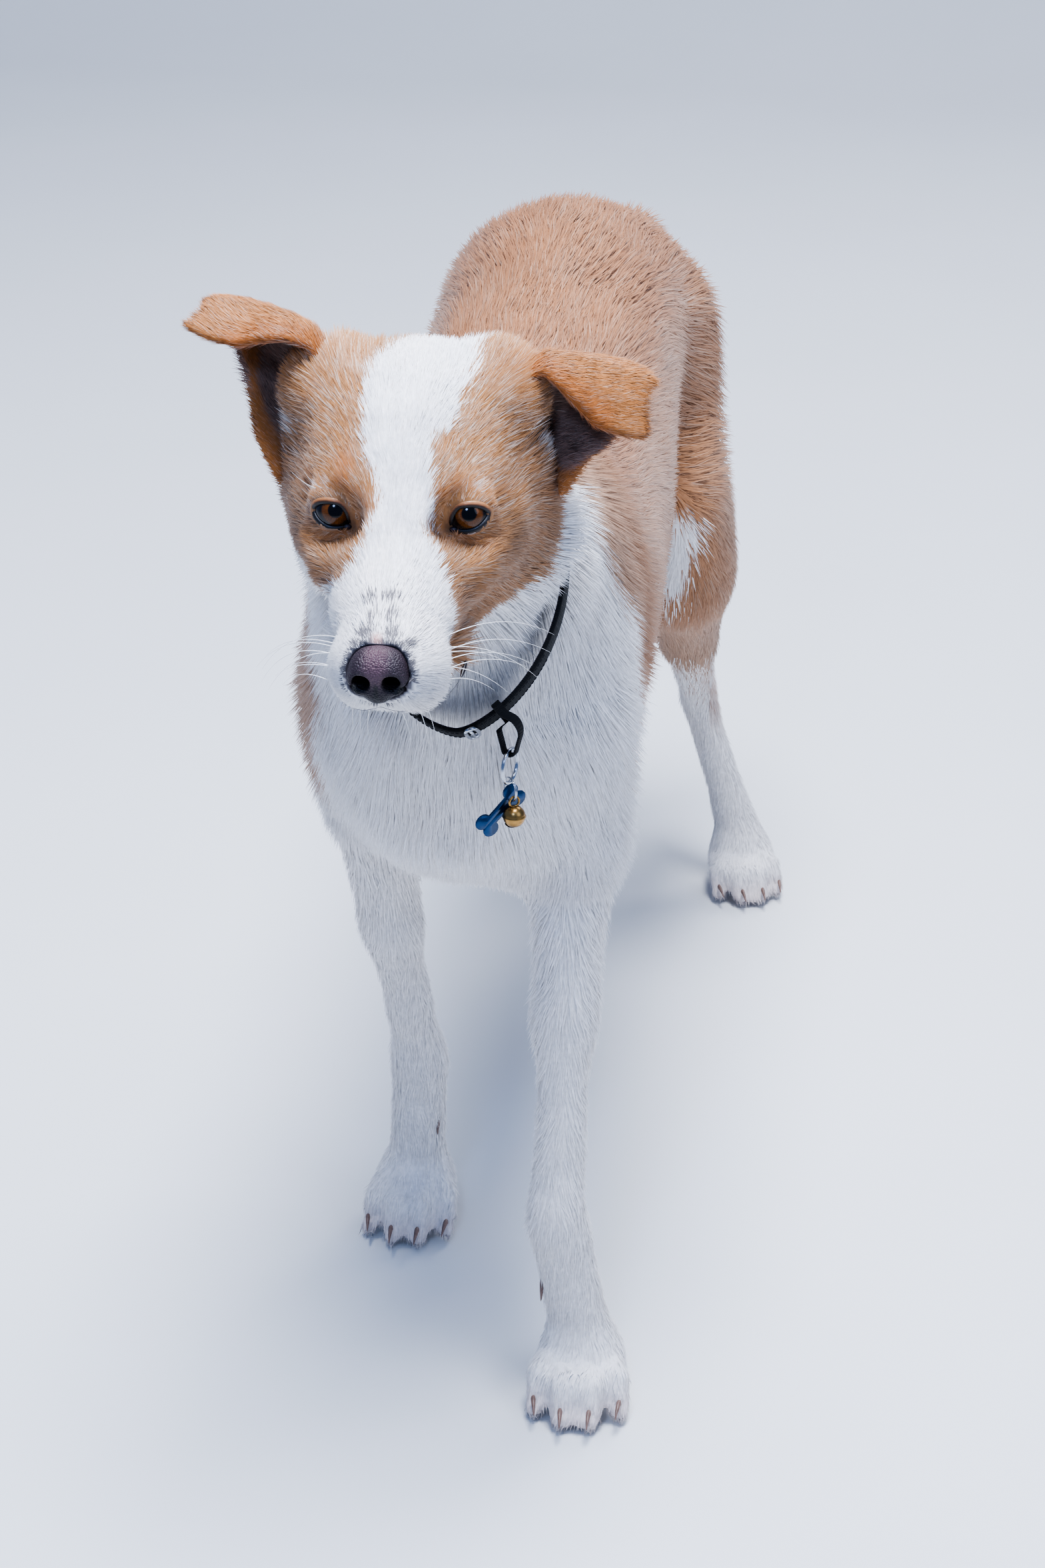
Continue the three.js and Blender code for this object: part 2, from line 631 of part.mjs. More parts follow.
function tagGeometry(wireAt) {
  const { length, lobe, apart, thick, hole, inset, aside } = HANG.tag;
  const end = Math.asin(apart / lobe); // where two lobes of one end meet
  const neck = 184 * RAD; // where a lobe runs into the waist
  const [middle, sweep] = [(neck - end) / 2, (neck + end) / 2];
  const lobes = [[1, 1], [-1, 1], [-1, -1], [1, -1]].map(([sx, sy]) => {
    const facing = Math.atan2(sy * Math.sin(middle), sx * Math.cos(middle));
    return { x: (length / 2 - lobe) * sx, y: apart * sy, from: facing - sweep, to: facing + sweep };
  });
  const shape = new THREE.Shape();
  for (const { x, y, from, to } of lobes) shape.absarc(x, y, lobe, from, to);
  const high = apart + lobe * Math.sin(neck) - inset;
  shape.holes.push(new THREE.Path().absarc(-aside, high, hole, 0, TAU));
  const long = vec([-0.6, -0.42, -0.68]).normalize();
  const up = vec([0.85, -0.7, 0]).normalize().cross(long).normalize();
  if (up.z < 0) up.negate();
  const frame = new THREE.Matrix4().makeBasis(long, up, long.clone().cross(up));
  frame.setPosition(wireAt.clone().addScaledVector(up, -high).addScaledVector(long, aside));
  return new THREE.ExtrudeGeometry(shape, { depth: thick, bevelEnabled: false, curveSegments: 3 })
    .translate(0, 0, -thick / 2)
    .applyMatrix4(frame);
}

function bellSolid(eyeAt) {
  const { radius, eye, wire } = HANG.bell;
  const profile = [new THREE.Vector2(0, -radius)];
  for (let a = -60; a <= 60; a += 30) {
    const r = radius * (a === 0 ? 1.07 : 1);
    profile.push(new THREE.Vector2(r * Math.cos(a * RAD), radius * Math.sin(a * RAD)));
  }
  profile.push(new THREE.Vector2(0, radius));
  const body = solidOf(new THREE.LatheGeometry(profile, 12).rotateX(TAU / 4));
  const slot = solidOf(new THREE.BoxGeometry(1, 3 * radius, 8).translate(0, 0, -radius));
  const high = radius + eye * 0.8;
  const shank = solidOf(new THREE.TorusGeometry(eye, wire, 5, 10).rotateX(TAU / 4).translate(0, 0, high));
  const center = eyeAt.clone().sub(vec([0, 0, high]));
  return body.subtract(slot).add(shank).rotate([0, 0, 40]).translate(center.toArray());
}

// ----------------------------------------------------------------------------------------------------
// A claw in the paw's frame: a tapered horn that bends down. It sits in the toe with its root.

const CLAW = { length: 13, root: 3, radius: 2.5, bend: 42, rings: 3, sides: 5 };

function clawGeometry(grow = 0) {
  const { length, root, radius, bend, rings, sides } = CLAW;
  const positions = [];
  for (let i = 0; i <= rings; i++) {
    const t = i / rings;
    const a = bend * t * RAD;
    const arc = length / (bend * RAD);
    const center = [0, root - arc * Math.sin(a) + (i === 0 ? grow : 0), -arc * (1 - Math.cos(a))];
    const r = radius * (1 - 0.85 * t ** 1.4) + grow;
    for (let j = 0; j < sides; j++) {
      const b = (j / sides) * TAU;
      const [side, up] = [r * 0.8 * Math.cos(b), r * Math.sin(b)];
      positions.push(center[0] + side, center[1] - up * Math.sin(a), center[2] + up * Math.cos(a));
    }
  }
  const faces = [];
  for (let i = 0; i < rings; i++) {
    for (let j = 0; j < sides; j++) {
      const [a, b] = [i * sides + j, i * sides + ((j + 1) % sides)];
      faces.push(a, b, b + sides, a, b + sides, a + sides);
    }
  }
  for (let j = 1; j < sides - 1; j++) {
    faces.push(0, j + 1, j, rings * sides, rings * sides + j, rings * sides + j + 1);
  }
  return new THREE.BufferGeometry()
    .setAttribute("position", new THREE.BufferAttribute(new Float32Array(positions), 3))
    .setIndex(faces);
}

// The places of a paw's claws, as matrices from the claw's frame. A forepaw has a dewclaw on its inner side.
function clawPlaces(leg, size, side, hasDewclaw) {
  const { point, turn } = pawPlace(leg);
  const paw = new THREE.Matrix4().compose(point, turn, vec([size, size, size]));
  const places = TOES.map(({ x, tip, spread }) =>
    paw.clone().multiply(
      new THREE.Matrix4().makeRotationZ(-spread * 1.6 * RAD).setPosition(x + spread * 0.9, tip - 3.5, 15.5),
    ),
  );
  if (hasDewclaw) {
    const turned = new THREE.Matrix4().makeRotationFromEuler(new THREE.Euler(0.7, 0, 0));
    const high = leg.wrist[2] * 0.62;
    const middle = leg.foot.map((v, i) => v + (leg.wrist[i] - v) * 0.62);
    places.push(turned.setPosition(middle[0] - 19 * SIDES[side], middle[1] - 2, high));
  }
  return places;
}

// ----------------------------------------------------------------------------------------------------
// The cuts: each is a plane by a point on it and its normal, which points into the part that is kept.

const plane = (point, normal) => ({ point: vec(point), normal: vec(normal).normalize() });
const flipped = ({ point, normal }) => ({ point, normal: normal.clone().negate() });
const cutTo = (solid, planes, gap = CUT_GAP / 2) =>
  planes.reduce((s, { point, normal }) => s.trimByPlane(normal.toArray(), normal.dot(point) + gap), solid);

const FLOOR = plane([0, 0, -CUT_GAP / 2], [0, 0, 1]); // leaves flat soles at height 0
const HEAD_CUT = plane([0, -244, 510], [0, -140, 80]);
const NECK_CUT = plane([0, -160, 430], [0, -215, 92]);
const NECK_FLOOR = plane([0, 0, 352], [0, 0, 1]);
const TAIL_CUT = plane([0, 437, 462], [0, 0.86, -0.3]);
const foreCuts = (side) => [
  plane([47 * SIDES[side], 0, 300], [55 * SIDES[side], 0, -35]),
  plane([0, 0, 0], [SIDES[side], 0, 0]),
  plane([0, -60, 0], [0, -1, 0]),
  plane([0, 0, 350], [0, 0, -1]),
];
const hindInner = (side) => plane([26 * SIDES[side], 0, 0], [SIDES[side], 0, 0]);
const hindCuts = (side) => [
  hindInner(side),
  plane([26 * SIDES[side], 0, 352], [1.25 * SIDES[side], 0, -1]),
  plane([0, 196, 330], [0, 1, -0.35]),
];

// What the cuts leave of a large block, to be taken out of a neighbour.
function regionOf(planes) {
  const block = new THREE.BoxGeometry(400, 1100, 720).translate(0, 80, 340);
  return cutTo(solidOf(block), planes, -CUT_GAP / 2);
}

// One piece: the largest body of a solid, so that a sliver off a cut is dropped.
const largest = (solid) => solid.decompose().reduce((a, b) => (b.volume() > a.volume() ? b : a));

// ----------------------------------------------------------------------------------------------------
// The parts.

// The grid that each part is made on, and how far its faces may then stray from that.
const GRAIN = {
  head: { cell: 5.4, stray: 1.1 },
  neck: { cell: 11, stray: 2.6 },
  trunk: { cell: 16, stray: 2.3 },
  leg: { cell: 8.5, stray: 1.9 },
  thigh: { cell: 11, stray: 1.6 },
  paw: { cell: 4.5, stray: 1.3 },
  tail: { cell: 11, stray: 1.8 },
  nose: { cell: 2.4, stray: 0.5 },
};

const group = new THREE.Group();

function addMesh(name, geometry, material) {
  const mesh = new THREE.Mesh(geometry, material);
  mesh.name = name;
  group.add(mesh);
}

const addSolid = (name, solid, material) => addMesh(name, geometryOf(largest(solid)), material);
const grained = (field, low, high, { cell, stray }) =>
  solidOf(simplified(surfaceOf(field, low, high, cell), stray));
const fleshIn = (low, high, grain) => grained(flesh, low, high, grain);

function addTrunk() {
  let s = fleshIn([-140, -270, 230], [140, 470, 580], GRAIN.trunk).subtract(regionOf([NECK_CUT, NECK_FLOOR]));
  for (const side of Object.keys(SIDES)) {
    s = s.subtract(regionOf(foreCuts(side))).subtract(regionOf(hindCuts(side)));
  }
  addSolid("trunk", cutTo(s, [flipped(TAIL_CUT)]), TAN_COAT);
}

function addTail() {
  const s = fleshIn([-50, 400, 120], [60, 560, 520], GRAIN.tail);
  addSolid("tail", cutTo(s, [TAIL_CUT, ...bothNames((side) => flipped(hindInner(side)))]), TAN_COAT);
}

function addNeck() {
  const s = fleshIn([-140, -350, 320], [140, -80, 650], GRAIN.neck);
  const groove = solidOf(collarBand(-FIT_GAP, 90, COLLAR.width + 2 * FIT_GAP));
  const { at, wide, out, run } = hangFrame();
  const notch = solidOf(
    new THREE.BoxGeometry(COLLAR.width + 8, 40, 2.4 * HANG.loop.width)
      .translate(0, 20 - 4.5, 0)
      .applyMatrix4(new THREE.Matrix4().makeBasis(wide, out, run).setPosition(at)),
  );
  const whole = cutTo(s, [NECK_CUT, NECK_FLOOR, flipped(HEAD_CUT)]);
  addSolid("neck", whole.subtract(groove).subtract(notch), WHITE_COAT);
}

const HEAD_BOX = [[-95, -440, 420], [95, -190, 640]];
const inHead = (geometry) => geometry.applyQuaternion(headTurn).translate(...HEAD.place.toArray());

function addHead() {
  let s = cutTo(fleshIn(...HEAD_BOX, GRAIN.head), [HEAD_CUT]);
  const around = grown(s, 2 * FIT_GAP);
  for (const [side, sign] of Object.entries(SIDES)) {
    const eyeAt = [EYE.at[0] * sign, EYE.at[1], EYE.at[2]];
    const ball = (grow) => inHead(new THREE.IcosahedronGeometry(EYE.radius + grow, 2).translate(...eyeAt));
    addMesh(`eye_${side}`, ball(0), EYE_AMBER);
    s = s.subtract(solidOf(ball(FIT_GAP * 1.6)));
    addSolid(`ear_${side}`, solidOf(inHead(earGeometry(EARS[side], sign))).subtract(around), EAR_COAT);
  }
  const bridge = ellipsoid([0, NOSE.at[1] - 3, NOSE.at[2] + 6], [13, 9, 6]);
  const nose = joined([ellipsoid(NOSE.at, NOSE.half), bridge], 6);
  const leather = solidOf(inHead(geometryOf(grained(nose, [-22, -120, -52], [22, -76, -8], GRAIN.nose))));
  addSolid("nose", leather, NOSE_LEATHER);
  addSolid("head", s.subtract(grown(leather, 1.4 * FIT_GAP)), TAN_COAT);
}

function addPaw(name, leg, size, side, high, topCut, hasDewclaw) {
  const [x, y] = leg.foot;
  let s = cutTo(fleshIn([x - 48, y - 60, -8], [x + 48, y + 50, high], GRAIN.paw), [flipped(topCut), FLOOR]);
  clawPlaces(leg, size, side, hasDewclaw).forEach((place, i) => {
    addMesh(`claw_${name}_${i + 1}`, clawGeometry().applyMatrix4(place), CLAW_HORN);
    s = s.subtract(solidOf(clawGeometry(FIT_GAP * 1.4).applyMatrix4(place)));
  });
  addSolid(name, s, WHITE_COAT);
}

function addForeleg(side) {
  const leg = FORELEGS[side];
  const wristCut = plane([0, 0, leg.wrist[2] - 2], [0, 0, 1]);
  const x = 80 * SIDES[side];
  const s = fleshIn([x - 80, -330, 80], [x + 80, -40, 380], GRAIN.leg);
  addSolid(`foreleg_${side}`, cutTo(s, [...foreCuts(side), wristCut]), WHITE_COAT);
  addPaw(`forefoot_${side}`, leg, FORE_PAW, side, leg.wrist[2] + 20, wristCut, true);
}

function addHindleg(side) {
  const leg = HINDLEGS[side];
  const { knee, hock } = leg;
  const kneeCut = plane([0, (knee[1] + hock[1]) / 2, (knee[2] + hock[2]) / 2 + 30], [0, -0.4, 1]);
  const footCut = plane([0, 0, 62], [0, 0, 1]);
  const x = 85 * SIDES[side];
  const thigh = fleshIn([x - 75, 170, 180], [x + 75, 480, 510], GRAIN.thigh);
  addSolid(`thigh_${side}`, cutTo(thigh, [...hindCuts(side), kneeCut, flipped(TAIL_CUT)]), TAN_COAT);
  const shank = fleshIn([x - 75, 240, 40], [x + 75, 540, 300], GRAIN.leg);
  addSolid(`shank_${side}`, cutTo(shank, [hindInner(side), flipped(kneeCut), footCut]), WHITE_COAT);
  addPaw(`hindfoot_${side}`, leg, HIND_PAW, side, 80, footCut, false);
}

function addCollar() {
  addMesh("collar", collarBand(0, COLLAR.thick, COLLAR.width), BLACK_WEBBING);
  addMesh("collar_loop", loopGeometry(), BLACK_WEBBING);
  const { ring, split, bell, loop } = HANG;
  const down = (point, by) => point.clone().add(vec([0, 0, -by]));
  const bight = onLoop(loop.drop - 3 * FIT_GAP - ring.wire).point;
  const ringAt = down(bight, ring.radius);
  const splitAt = down(ringAt, ring.radius + split.radius - split.wire - ring.wire - FIT_GAP);
  addMesh("tag_ring", ringGeometry(ringAt, ring), STEEL);
  addMesh("split_ring", ringGeometry(splitAt, split), STEEL);
  const onSplit = (angle) => {
    const [c, s] = [Math.cos(split.turn * RAD), Math.sin(split.turn * RAD)];
    const [flat, low] = [Math.sin(angle * RAD) * split.radius, Math.cos(angle * RAD) * split.radius];
    return splitAt.clone().add(vec([c * flat, s * flat, -low]));
  };
  addMesh("tag", tagGeometry(onSplit(14)), BLUE_TAG);
  addSolid("bell", bellSolid(down(onSplit(-42), bell.eye - bell.wire - split.wire - 2 * FIT_GAP)), BRASS);
}

addTrunk();
addTail();
addNeck();
addHead();
addCollar();
for (const side of Object.keys(SIDES)) {
  addForeleg(side);
  addHindleg(side);
}

// The group stands with the middle of its box over the origin.
const box = new THREE.Box3().setFromObject(group);
group.position.set(-(box.min.x + box.max.x) / 2, -(box.min.y + box.max.y) / 2, -box.min.z);

export default group;
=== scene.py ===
import math

import bmesh
import bpy
import numpy as np
import openvdb as vdb
from mathutils import Matrix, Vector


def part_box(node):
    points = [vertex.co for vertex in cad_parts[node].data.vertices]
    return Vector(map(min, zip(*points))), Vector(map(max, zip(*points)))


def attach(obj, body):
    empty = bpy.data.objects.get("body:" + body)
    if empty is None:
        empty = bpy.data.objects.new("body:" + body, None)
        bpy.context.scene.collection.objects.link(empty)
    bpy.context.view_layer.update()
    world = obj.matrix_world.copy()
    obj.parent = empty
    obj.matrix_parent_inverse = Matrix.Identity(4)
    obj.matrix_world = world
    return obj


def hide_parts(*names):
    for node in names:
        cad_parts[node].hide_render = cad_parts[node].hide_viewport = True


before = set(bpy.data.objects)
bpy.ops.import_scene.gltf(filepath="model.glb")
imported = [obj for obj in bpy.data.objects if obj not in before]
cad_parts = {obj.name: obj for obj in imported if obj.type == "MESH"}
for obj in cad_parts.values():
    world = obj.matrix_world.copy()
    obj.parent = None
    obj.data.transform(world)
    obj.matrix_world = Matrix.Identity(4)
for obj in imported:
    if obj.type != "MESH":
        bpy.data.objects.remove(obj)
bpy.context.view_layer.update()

bl_info = {
    "name": "Standing dog",
    "version": (1, 0, 0),
    "blender": (4, 5, 0),
    "location": "View3D > Sidebar > Dog",
    "description": "A white and tan dog with a collar, built around its solid frame",
    "category": "Add Mesh",
}

MM = 0.001
SEED = 20
SIDES = {"left": 1.0, "right": -1.0}

# The dog's own frame, in millimetres: it faces -Y with its left side to +X, and stands on z = 0. The
# head has a frame of its own, turned as it is carried.

HEAD_PLACE = np.array([-5.5, -311.0, 535.0])
HEAD_PITCH, HEAD_YAW, HEAD_ROLL = (math.radians(a) for a in (13, 3, -1))
EYE_AT = np.array([32.4, -4.3, -1.0])
EYE_RADIUS = 10.5
GAZE = np.array([0.152, -0.827, 0.541])
NOSE_AT = np.array([0.0, -97.0, -30.0])
NOSE_HALF = np.array([15.5, 11.0, 12.5])

# The opening between the lids from the eye's centre, x outward, starting at the inner corner.
LID_OPENING = [
    (-8.0, -6.5, -3.9), (-4.4, -9.8, -3.4), (0.0, -10.9, -3.0), (4.3, -10.2, -1.9),
    (8.1, -7.6, -0.0), (10.2, -3.8, 2.5), (7.9, -4.6, 5.9), (4.3, -5.9, 7.7),
    (0.0, -6.9, 8.1), (-3.4, -7.2, 7.3), (-6.0, -8.0, 4.2), (-7.5, -8.4, 0.3),
]
LID_INNER = np.array([-6.6, -8.3, -4.2])  # the way to the fleshy bump in the inner corner


def turn_matrix():
    """The turn of the head: yaw, then pitch, then roll."""
    cp, sp = math.cos(HEAD_PITCH), math.sin(HEAD_PITCH)
    cy, sy = math.cos(HEAD_YAW), math.sin(HEAD_YAW)
    cr, sr = math.cos(HEAD_ROLL), math.sin(HEAD_ROLL)
    rz = np.array([[cy, -sy, 0], [sy, cy, 0], [0, 0, 1]])
    rx = np.array([[1, 0, 0], [0, cp, -sp], [0, sp, cp]])
    ry = np.array([[cr, 0, sr], [0, 1, 0], [-sr, 0, cr]])
    return rz @ rx @ ry


HEAD_TURN = turn_matrix()


def to_head(points):
    return (points - HEAD_PLACE) @ HEAD_TURN


def from_head(points):
    return np.asarray(points, float) @ HEAD_TURN.T + HEAD_PLACE


def node_middle(name):
    low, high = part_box(name)
    return (np.array(low) + np.array(high)) / 2 / MM


def frame_shift():
    """From the dog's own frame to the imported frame, found from the two eyes."""
    eyes = from_head([EYE_AT * (side, 1, 1) for side in SIDES.values()])
    packed = [node_middle(f"eye_{side}") for side in SIDES]
    shift = np.mean(packed, axis=0) - np.mean(eyes, axis=0)
    shift[2] = 0
    return shift


SHIFT = frame_shift()


def unit(v):
    v = np.asarray(v, float)
    return v / np.maximum(np.linalg.norm(v, axis=-1, keepdims=True), 1e-9)


def ramp(low, high, x):
    """Rises smoothly from 0 at low to 1 at high; high may be the lesser."""
    t = np.clip((x - low) / (high - low), 0, 1)
    return t * t * (3 - 2 * t)


def mix(a, b, t):
    return a + (b - a) * t


def catmull(points, steps, closed=False):
    """Points along a smooth curve through the given ones, steps to each span."""
    p = np.asarray(points, float)
    n = len(p)
    out = []
    for i in range(n if closed else n - 1):
        a, b, c, d = (p[(i + k) % n if closed else min(max(i + k, 0), n - 1)] for k in (-1, 0, 1, 2))
        for t in np.arange(steps) / steps:
            out.append(0.5 * (2 * b + (c - a) * t + (2 * a - 5 * b + 4 * c - d) * t * t
                              + (3 * b - a - 3 * c + d) * t ** 3))
    return np.array(out if closed else [*out, p[-1]])


# Fields: distances in millimetres, negative inside.


def blend(a, b, k):
    h = np.maximum(k - np.abs(a - b), 0) / k
    return np.minimum(a, b) - h * h * k * 0.25


def carve(a, b, k):
    return -blend(-a, b, k)


def joined(fields, k):
    out = fields[0]
    for field in fields[1:]:
        out = blend(out, field, k)
    return out


def ellipsoid(p, centre, radii):
    q = p - np.asarray(centre, p.dtype)
    r = np.asarray(radii, p.dtype)
    k0 = np.sqrt(((q / r) ** 2).sum(-1))
    k1 = np.sqrt(((q / (r * r)) ** 2).sum(-1))
    return k0 * (k0 - 1) / np.maximum(k1, 1e-6)


def to_segment(p, a, b):
    """The distance of points from the line between two others, and the place along it from 0 to 1."""
    u, v = b - a, p - a
    t = np.clip((v @ u) / (u @ u), 0, 1)
    return np.sqrt(((v - t[..., None] * u) ** 2).sum(-1)), t


def limb(p, a, ra, b, rb, wide=1.0):
    """A rounded taper from radius ra at a to rb at b, widened across x."""
    scale = np.array([1 / wide, 1, 1], p.dtype)
    distance, t = to_segment(p * scale, np.asarray(a, p.dtype) * scale, np.asarray(b, p.dtype) * scale)
    return distance - (ra + t * (rb - ra))


def polyline(p, points):
    """The distance of points from an open line."""
    points = np.asarray(points, p.dtype)
    return np.min([to_segment(p, a, b)[0] for a, b in zip(points, points[1:])], axis=0)


def outline_distance(x, outline):
    """How far points of a plane are from a closed outline, negative inside it."""
    best = np.full(x.shape[:-1], 1e6)
    inside = np.zeros(x.shape[:-1], bool)
    for a, b in zip(outline, np.roll(outline, -1, axis=0)):
        best = np.minimum(best, to_segment(x, a, b)[0])
        crosses = (a[1] > x[..., 1]) != (b[1] > x[..., 1])
        rise = b[1] - a[1]
        slope = (b[0] - a[0]) / (rise if abs(rise) > 1e-9 else 1e-9)
        inside ^= crosses & (x[..., 0] < a[0] + slope * (x[..., 1] - a[1]))
    return np.where(inside, -best, best)


class Noise:
    """Three channels of smooth noise between -1 and 1 from a repeating lattice of seeded numbers."""

    def __init__(self, seed, size=24):
        self.size = size
        rng = np.random.default_rng(seed)
        self.lattice = rng.uniform(-1, 1, (size, size, size, 3)).astype(np.float32)

    def __call__(self, points, scale):
        q = np.asarray(points) / scale + 0.37
        cell = np.floor(q).astype(np.int64)
        t = (q - cell).astype(np.float32)
        t = t * t * (3 - 2 * t)
        out = 0
        for corner in range(8):
            step = np.array([corner & 1, corner >> 1 & 1, corner >> 2 & 1])
            weight = np.prod(np.where(step, t, 1 - t), axis=-1)
            i, j, k = np.moveaxis((cell + step) % self.size, -1, 0)
            out = out + self.lattice[i, j, k] * weight[..., None]
        return out


def mirrored(p):
    """Points of the head's frame moved to its other side."""
    return p * np.array([-1, 1, 1], p.dtype)


def both_sides(p, field):
    """A field that is the same on both sides of the head, given for its left side."""
    return np.minimum(field(p), field(mirrored(p)))


def laid(way, normals):
    """Unit directions along the skin, from any directions and its normals."""
    return unit(way - normals * (way * normals).sum(-1, keepdims=True))


MOUTH = [(0, -99, -50), (9, -98, -53), (19, -88, -58), (27, -72, -63), (32, -56, -64), (34, -44, -61)]


def head_field(p):
    """The head in its own frame, out to the tips of its short coat, with open orbits."""
    sides = (p, mirrored(p))
    skull = blend(ellipsoid(p, (0, 40, 6), (50, 56, 48)),
                  limb(p, (0, -10, -8), 23, (0, 28, 6), 34, 1.25), 22)
    muzzle = joined([limb(p, (0, -4, -30), 33, (0, -84, -36), 22, 1.2),
                     *(ellipsoid(q, (15, -83, -38), (15, 19, 18)) for q in sides)], 12)
    jaw = joined([limb(p, (0, -78, -54), 9, (0, -8, -58), 17, 1.35),
                  *(limb(q, (12, -20, -58), 15, (32, 30, -50), 20) for q in sides)], 14)
    cheeks = joined([joined([
        ellipsoid(q, (37, 30, -22), (24, 38, 33)),
        limb(q, (30, -12, -22), 13, (44, 38, -10), 16),
        ellipsoid(q, (22, 6, 7), (18, 22, 14)),
        ellipsoid(q, (41, 50, 33), (19, 22, 22)),
    ], 14) for q in sides], 14)
    whole = blend(blend(skull, blend(muzzle, jaw, 10), 26), cheeks, 20)
    for q in sides:
        whole = carve(whole, ellipsoid(q, EYE_AT + (1.5, -18, 3), (15, 13, 12.5)), 7)
    return whole


def eye_frame(side):
    """The middle of an eye and the unit directions out of the opening, outward and up across it."""
    out = unit(unit(LID_OPENING).mean(axis=0)) * (side, 1, 1)
    up = unit(np.array([0, 0, 1]) - out * out[2])
    across = np.cross(up, out)
    return EYE_AT * (side, 1, 1), out, across * np.sign(across[0] * side), up


def by_eye(q, side, reach):
    """Which points of the head's frame are within reach of the middle of an eye."""
    return ((q - EYE_AT * (side, 1, 1)) ** 2).sum(-1) < reach ** 2


def lid_curve(side, steps=5):
    """The lids' edge as unit directions from the eye's centre."""
    return unit(catmull(LID_OPENING, steps, closed=True) * (side, 1, 1))


def opening_distance(p, side):
    """How far points lie outside the opening between the lids, across the eye, and from its centre."""
    centre, out, across, up = eye_frame(side)

    def flat(d):
        way = np.stack([d @ across, d @ up], -1)
        return unit(way) * np.arccos(np.clip(d @ out, -1, 1))[..., None]

    q = p - centre
    r = np.sqrt((q ** 2).sum(-1))
    distance = outline_distance(flat(q / np.maximum(r, 1e-6)[..., None]), flat(lid_curve(side)))
    return np.where(q @ out < 0, 30, distance * EYE_RADIUS), r


# The coat: how long it is, how deep it lies and where it is tan. Every function takes points of the dog.


def rim_distance(q, sign):
    """How far points of the skin are from the edge of the lids."""
    along, r = opening_distance(q, sign)
    return np.hypot(np.maximum(along, 0), np.maximum(r - EYE_RADIUS - 2.5, 0))


def coat_length(p, head_depth):
    """The length of the hair at a point in millimetres. head_depth is the head's field there."""
    q = to_head(p)
    on_head = np.interp(q[..., 1], [-95, -62, -20, 12, 42, 78], [4.2, 5.5, 7.5, 9, 12, 18])
    low_cheek = ramp(-25, -60, q[..., 2]) * ramp(-25, 25, q[..., 1])
    on_head = on_head + 6 * low_cheek
    x, y, z = np.moveaxis(p, -1, 0)
    body = np.interp(z, [20, 60, 200, 290, 350], [6, 8, 10, 15, 22])
    front = ramp(-120, -175, y) * ramp(290, 350, z)
    body = mix(body, 27, front)
    haunch = ramp(190, 240, y) * ramp(380, 320, z)
    body = mix(body, np.minimum(body, 10.5), haunch)
    rear = ramp(425, 450, y) * ramp(175, 215, z)
    body = mix(body, 32, rear * ramp(30, 22, np.abs(x - 3)))
    head = ramp(4, -8, head_depth)
    return mix(body, np.minimum(on_head, body), head)


def coat_depth(p, head_depth):
    """How far the skin lies inside the tips of the coat."""
    length = coat_length(p, head_depth)
    return np.interp(length, [4, 8, 15, 22, 28, 34], [1.6, 3.0, 5.5, 8.0, 12.5, 12.5])


def soft_less(x, limit, width):
    return ramp(limit + width / 2, limit - width / 2, x)


def face_tan(q, wobble):
    """Where the head is tan, from its own frame: both sides of a blaze that narrows between the eyes."""
    x, y, z = np.moveaxis(q, -1, 0)
    x = x + 2.6 * wobble[..., 0]
    rise = np.degrees(np.arctan2(z + 25, 30 - y))
    left_edge = np.interp(rise, [18, 26, 37, 57, 72, 95, 118], [19, 15, 13, 15, 21, 29, 33])
    right_edge = np.interp(rise, [18, 36, 58, 87, 95, 117], [-11, -8, -13, -17, -11, 1])
    turn = np.degrees(np.arctan2(x, z + 33))
    left_turn = np.interp(y, [-66, -58, -51, -43, -36, -22], [112, 88, 74, 53, 35, 20])
    right_turn = np.interp(y, [-57, -52, -47, -41, -25], [-110, -80, -62, -33, -18])
    on_top = ramp(14, 24, rise)
    left = mix(soft_less((left_turn - turn) * 0.5, 0, 6), soft_less(left_edge - x, 0, 6), on_top)
    right = mix(soft_less((turn - right_turn) * 0.5, 0, 6), soft_less(x - right_edge, 0, 6), on_top)
    left_floor = np.interp(y, [-60, -30, -12, -4, 3, 16, 36, 60], [-66, -76, -77, -72, -62, -54, -36, -15])
    right_floor = np.interp(y, [-50, -40, -20, 0, 36, 60], [-16, -24, -36, -45, -30, -12])
    left *= soft_less(left_floor - z, 0, 8) * soft_less(-64 - y, 0, 10)
    right *= soft_less(right_floor - z, 0, 8) * soft_less(-50 - y, 0, 8)
    tan = np.where(x > 0, left, right)
    tuft = np.sqrt((x - 42) ** 2 + (y + 7) ** 2 + ((z + 53) * 0.6) ** 2)
    return tan * ramp(3, 6, tuft)


def body_tan(p, wobble):
    """Where the body is tan: its back, flanks, rump, the outer thighs and the upper side of the tail."""
    x, y, z = np.moveaxis(p, -1, 0)
    y = y + 13 * wobble[..., 0]
    z = z + 15 * wobble[..., 1]
    belly = np.interp(y, [-200, -120, 60, 200, 300], [330, 318, 330, 350, 300])
    start = np.where(x > 0, np.interp(z, [290, 350, 420, 500], [-178, -172, -176, -192]),
                     np.interp(z, [330, 395, 440, 560], [-170, -214, -172, -190]))
    tan = soft_less(start - y, 0, 22) * soft_less(belly - z, 0, 30)
    nape = soft_less(x, 8, 14) * soft_less(500 - z, 0, 14)
    tan = np.maximum(tan, nape)
    thigh = ramp(215, 240, y) * ramp(160, 225, z) * ramp(14, 34, np.abs(x))
    inner_front = np.sqrt(((np.abs(x) - 50) / 20) ** 2 + ((y - 230) / 22) ** 2 + ((z - 298) / 26) ** 2)
    tan = np.maximum(tan * (z > 250), thigh) * ramp(0.3, 1.35, inner_front)
    tail = ramp(452, 470, y) * ramp(190, 230, z)
    return np.maximum(tan, tail)


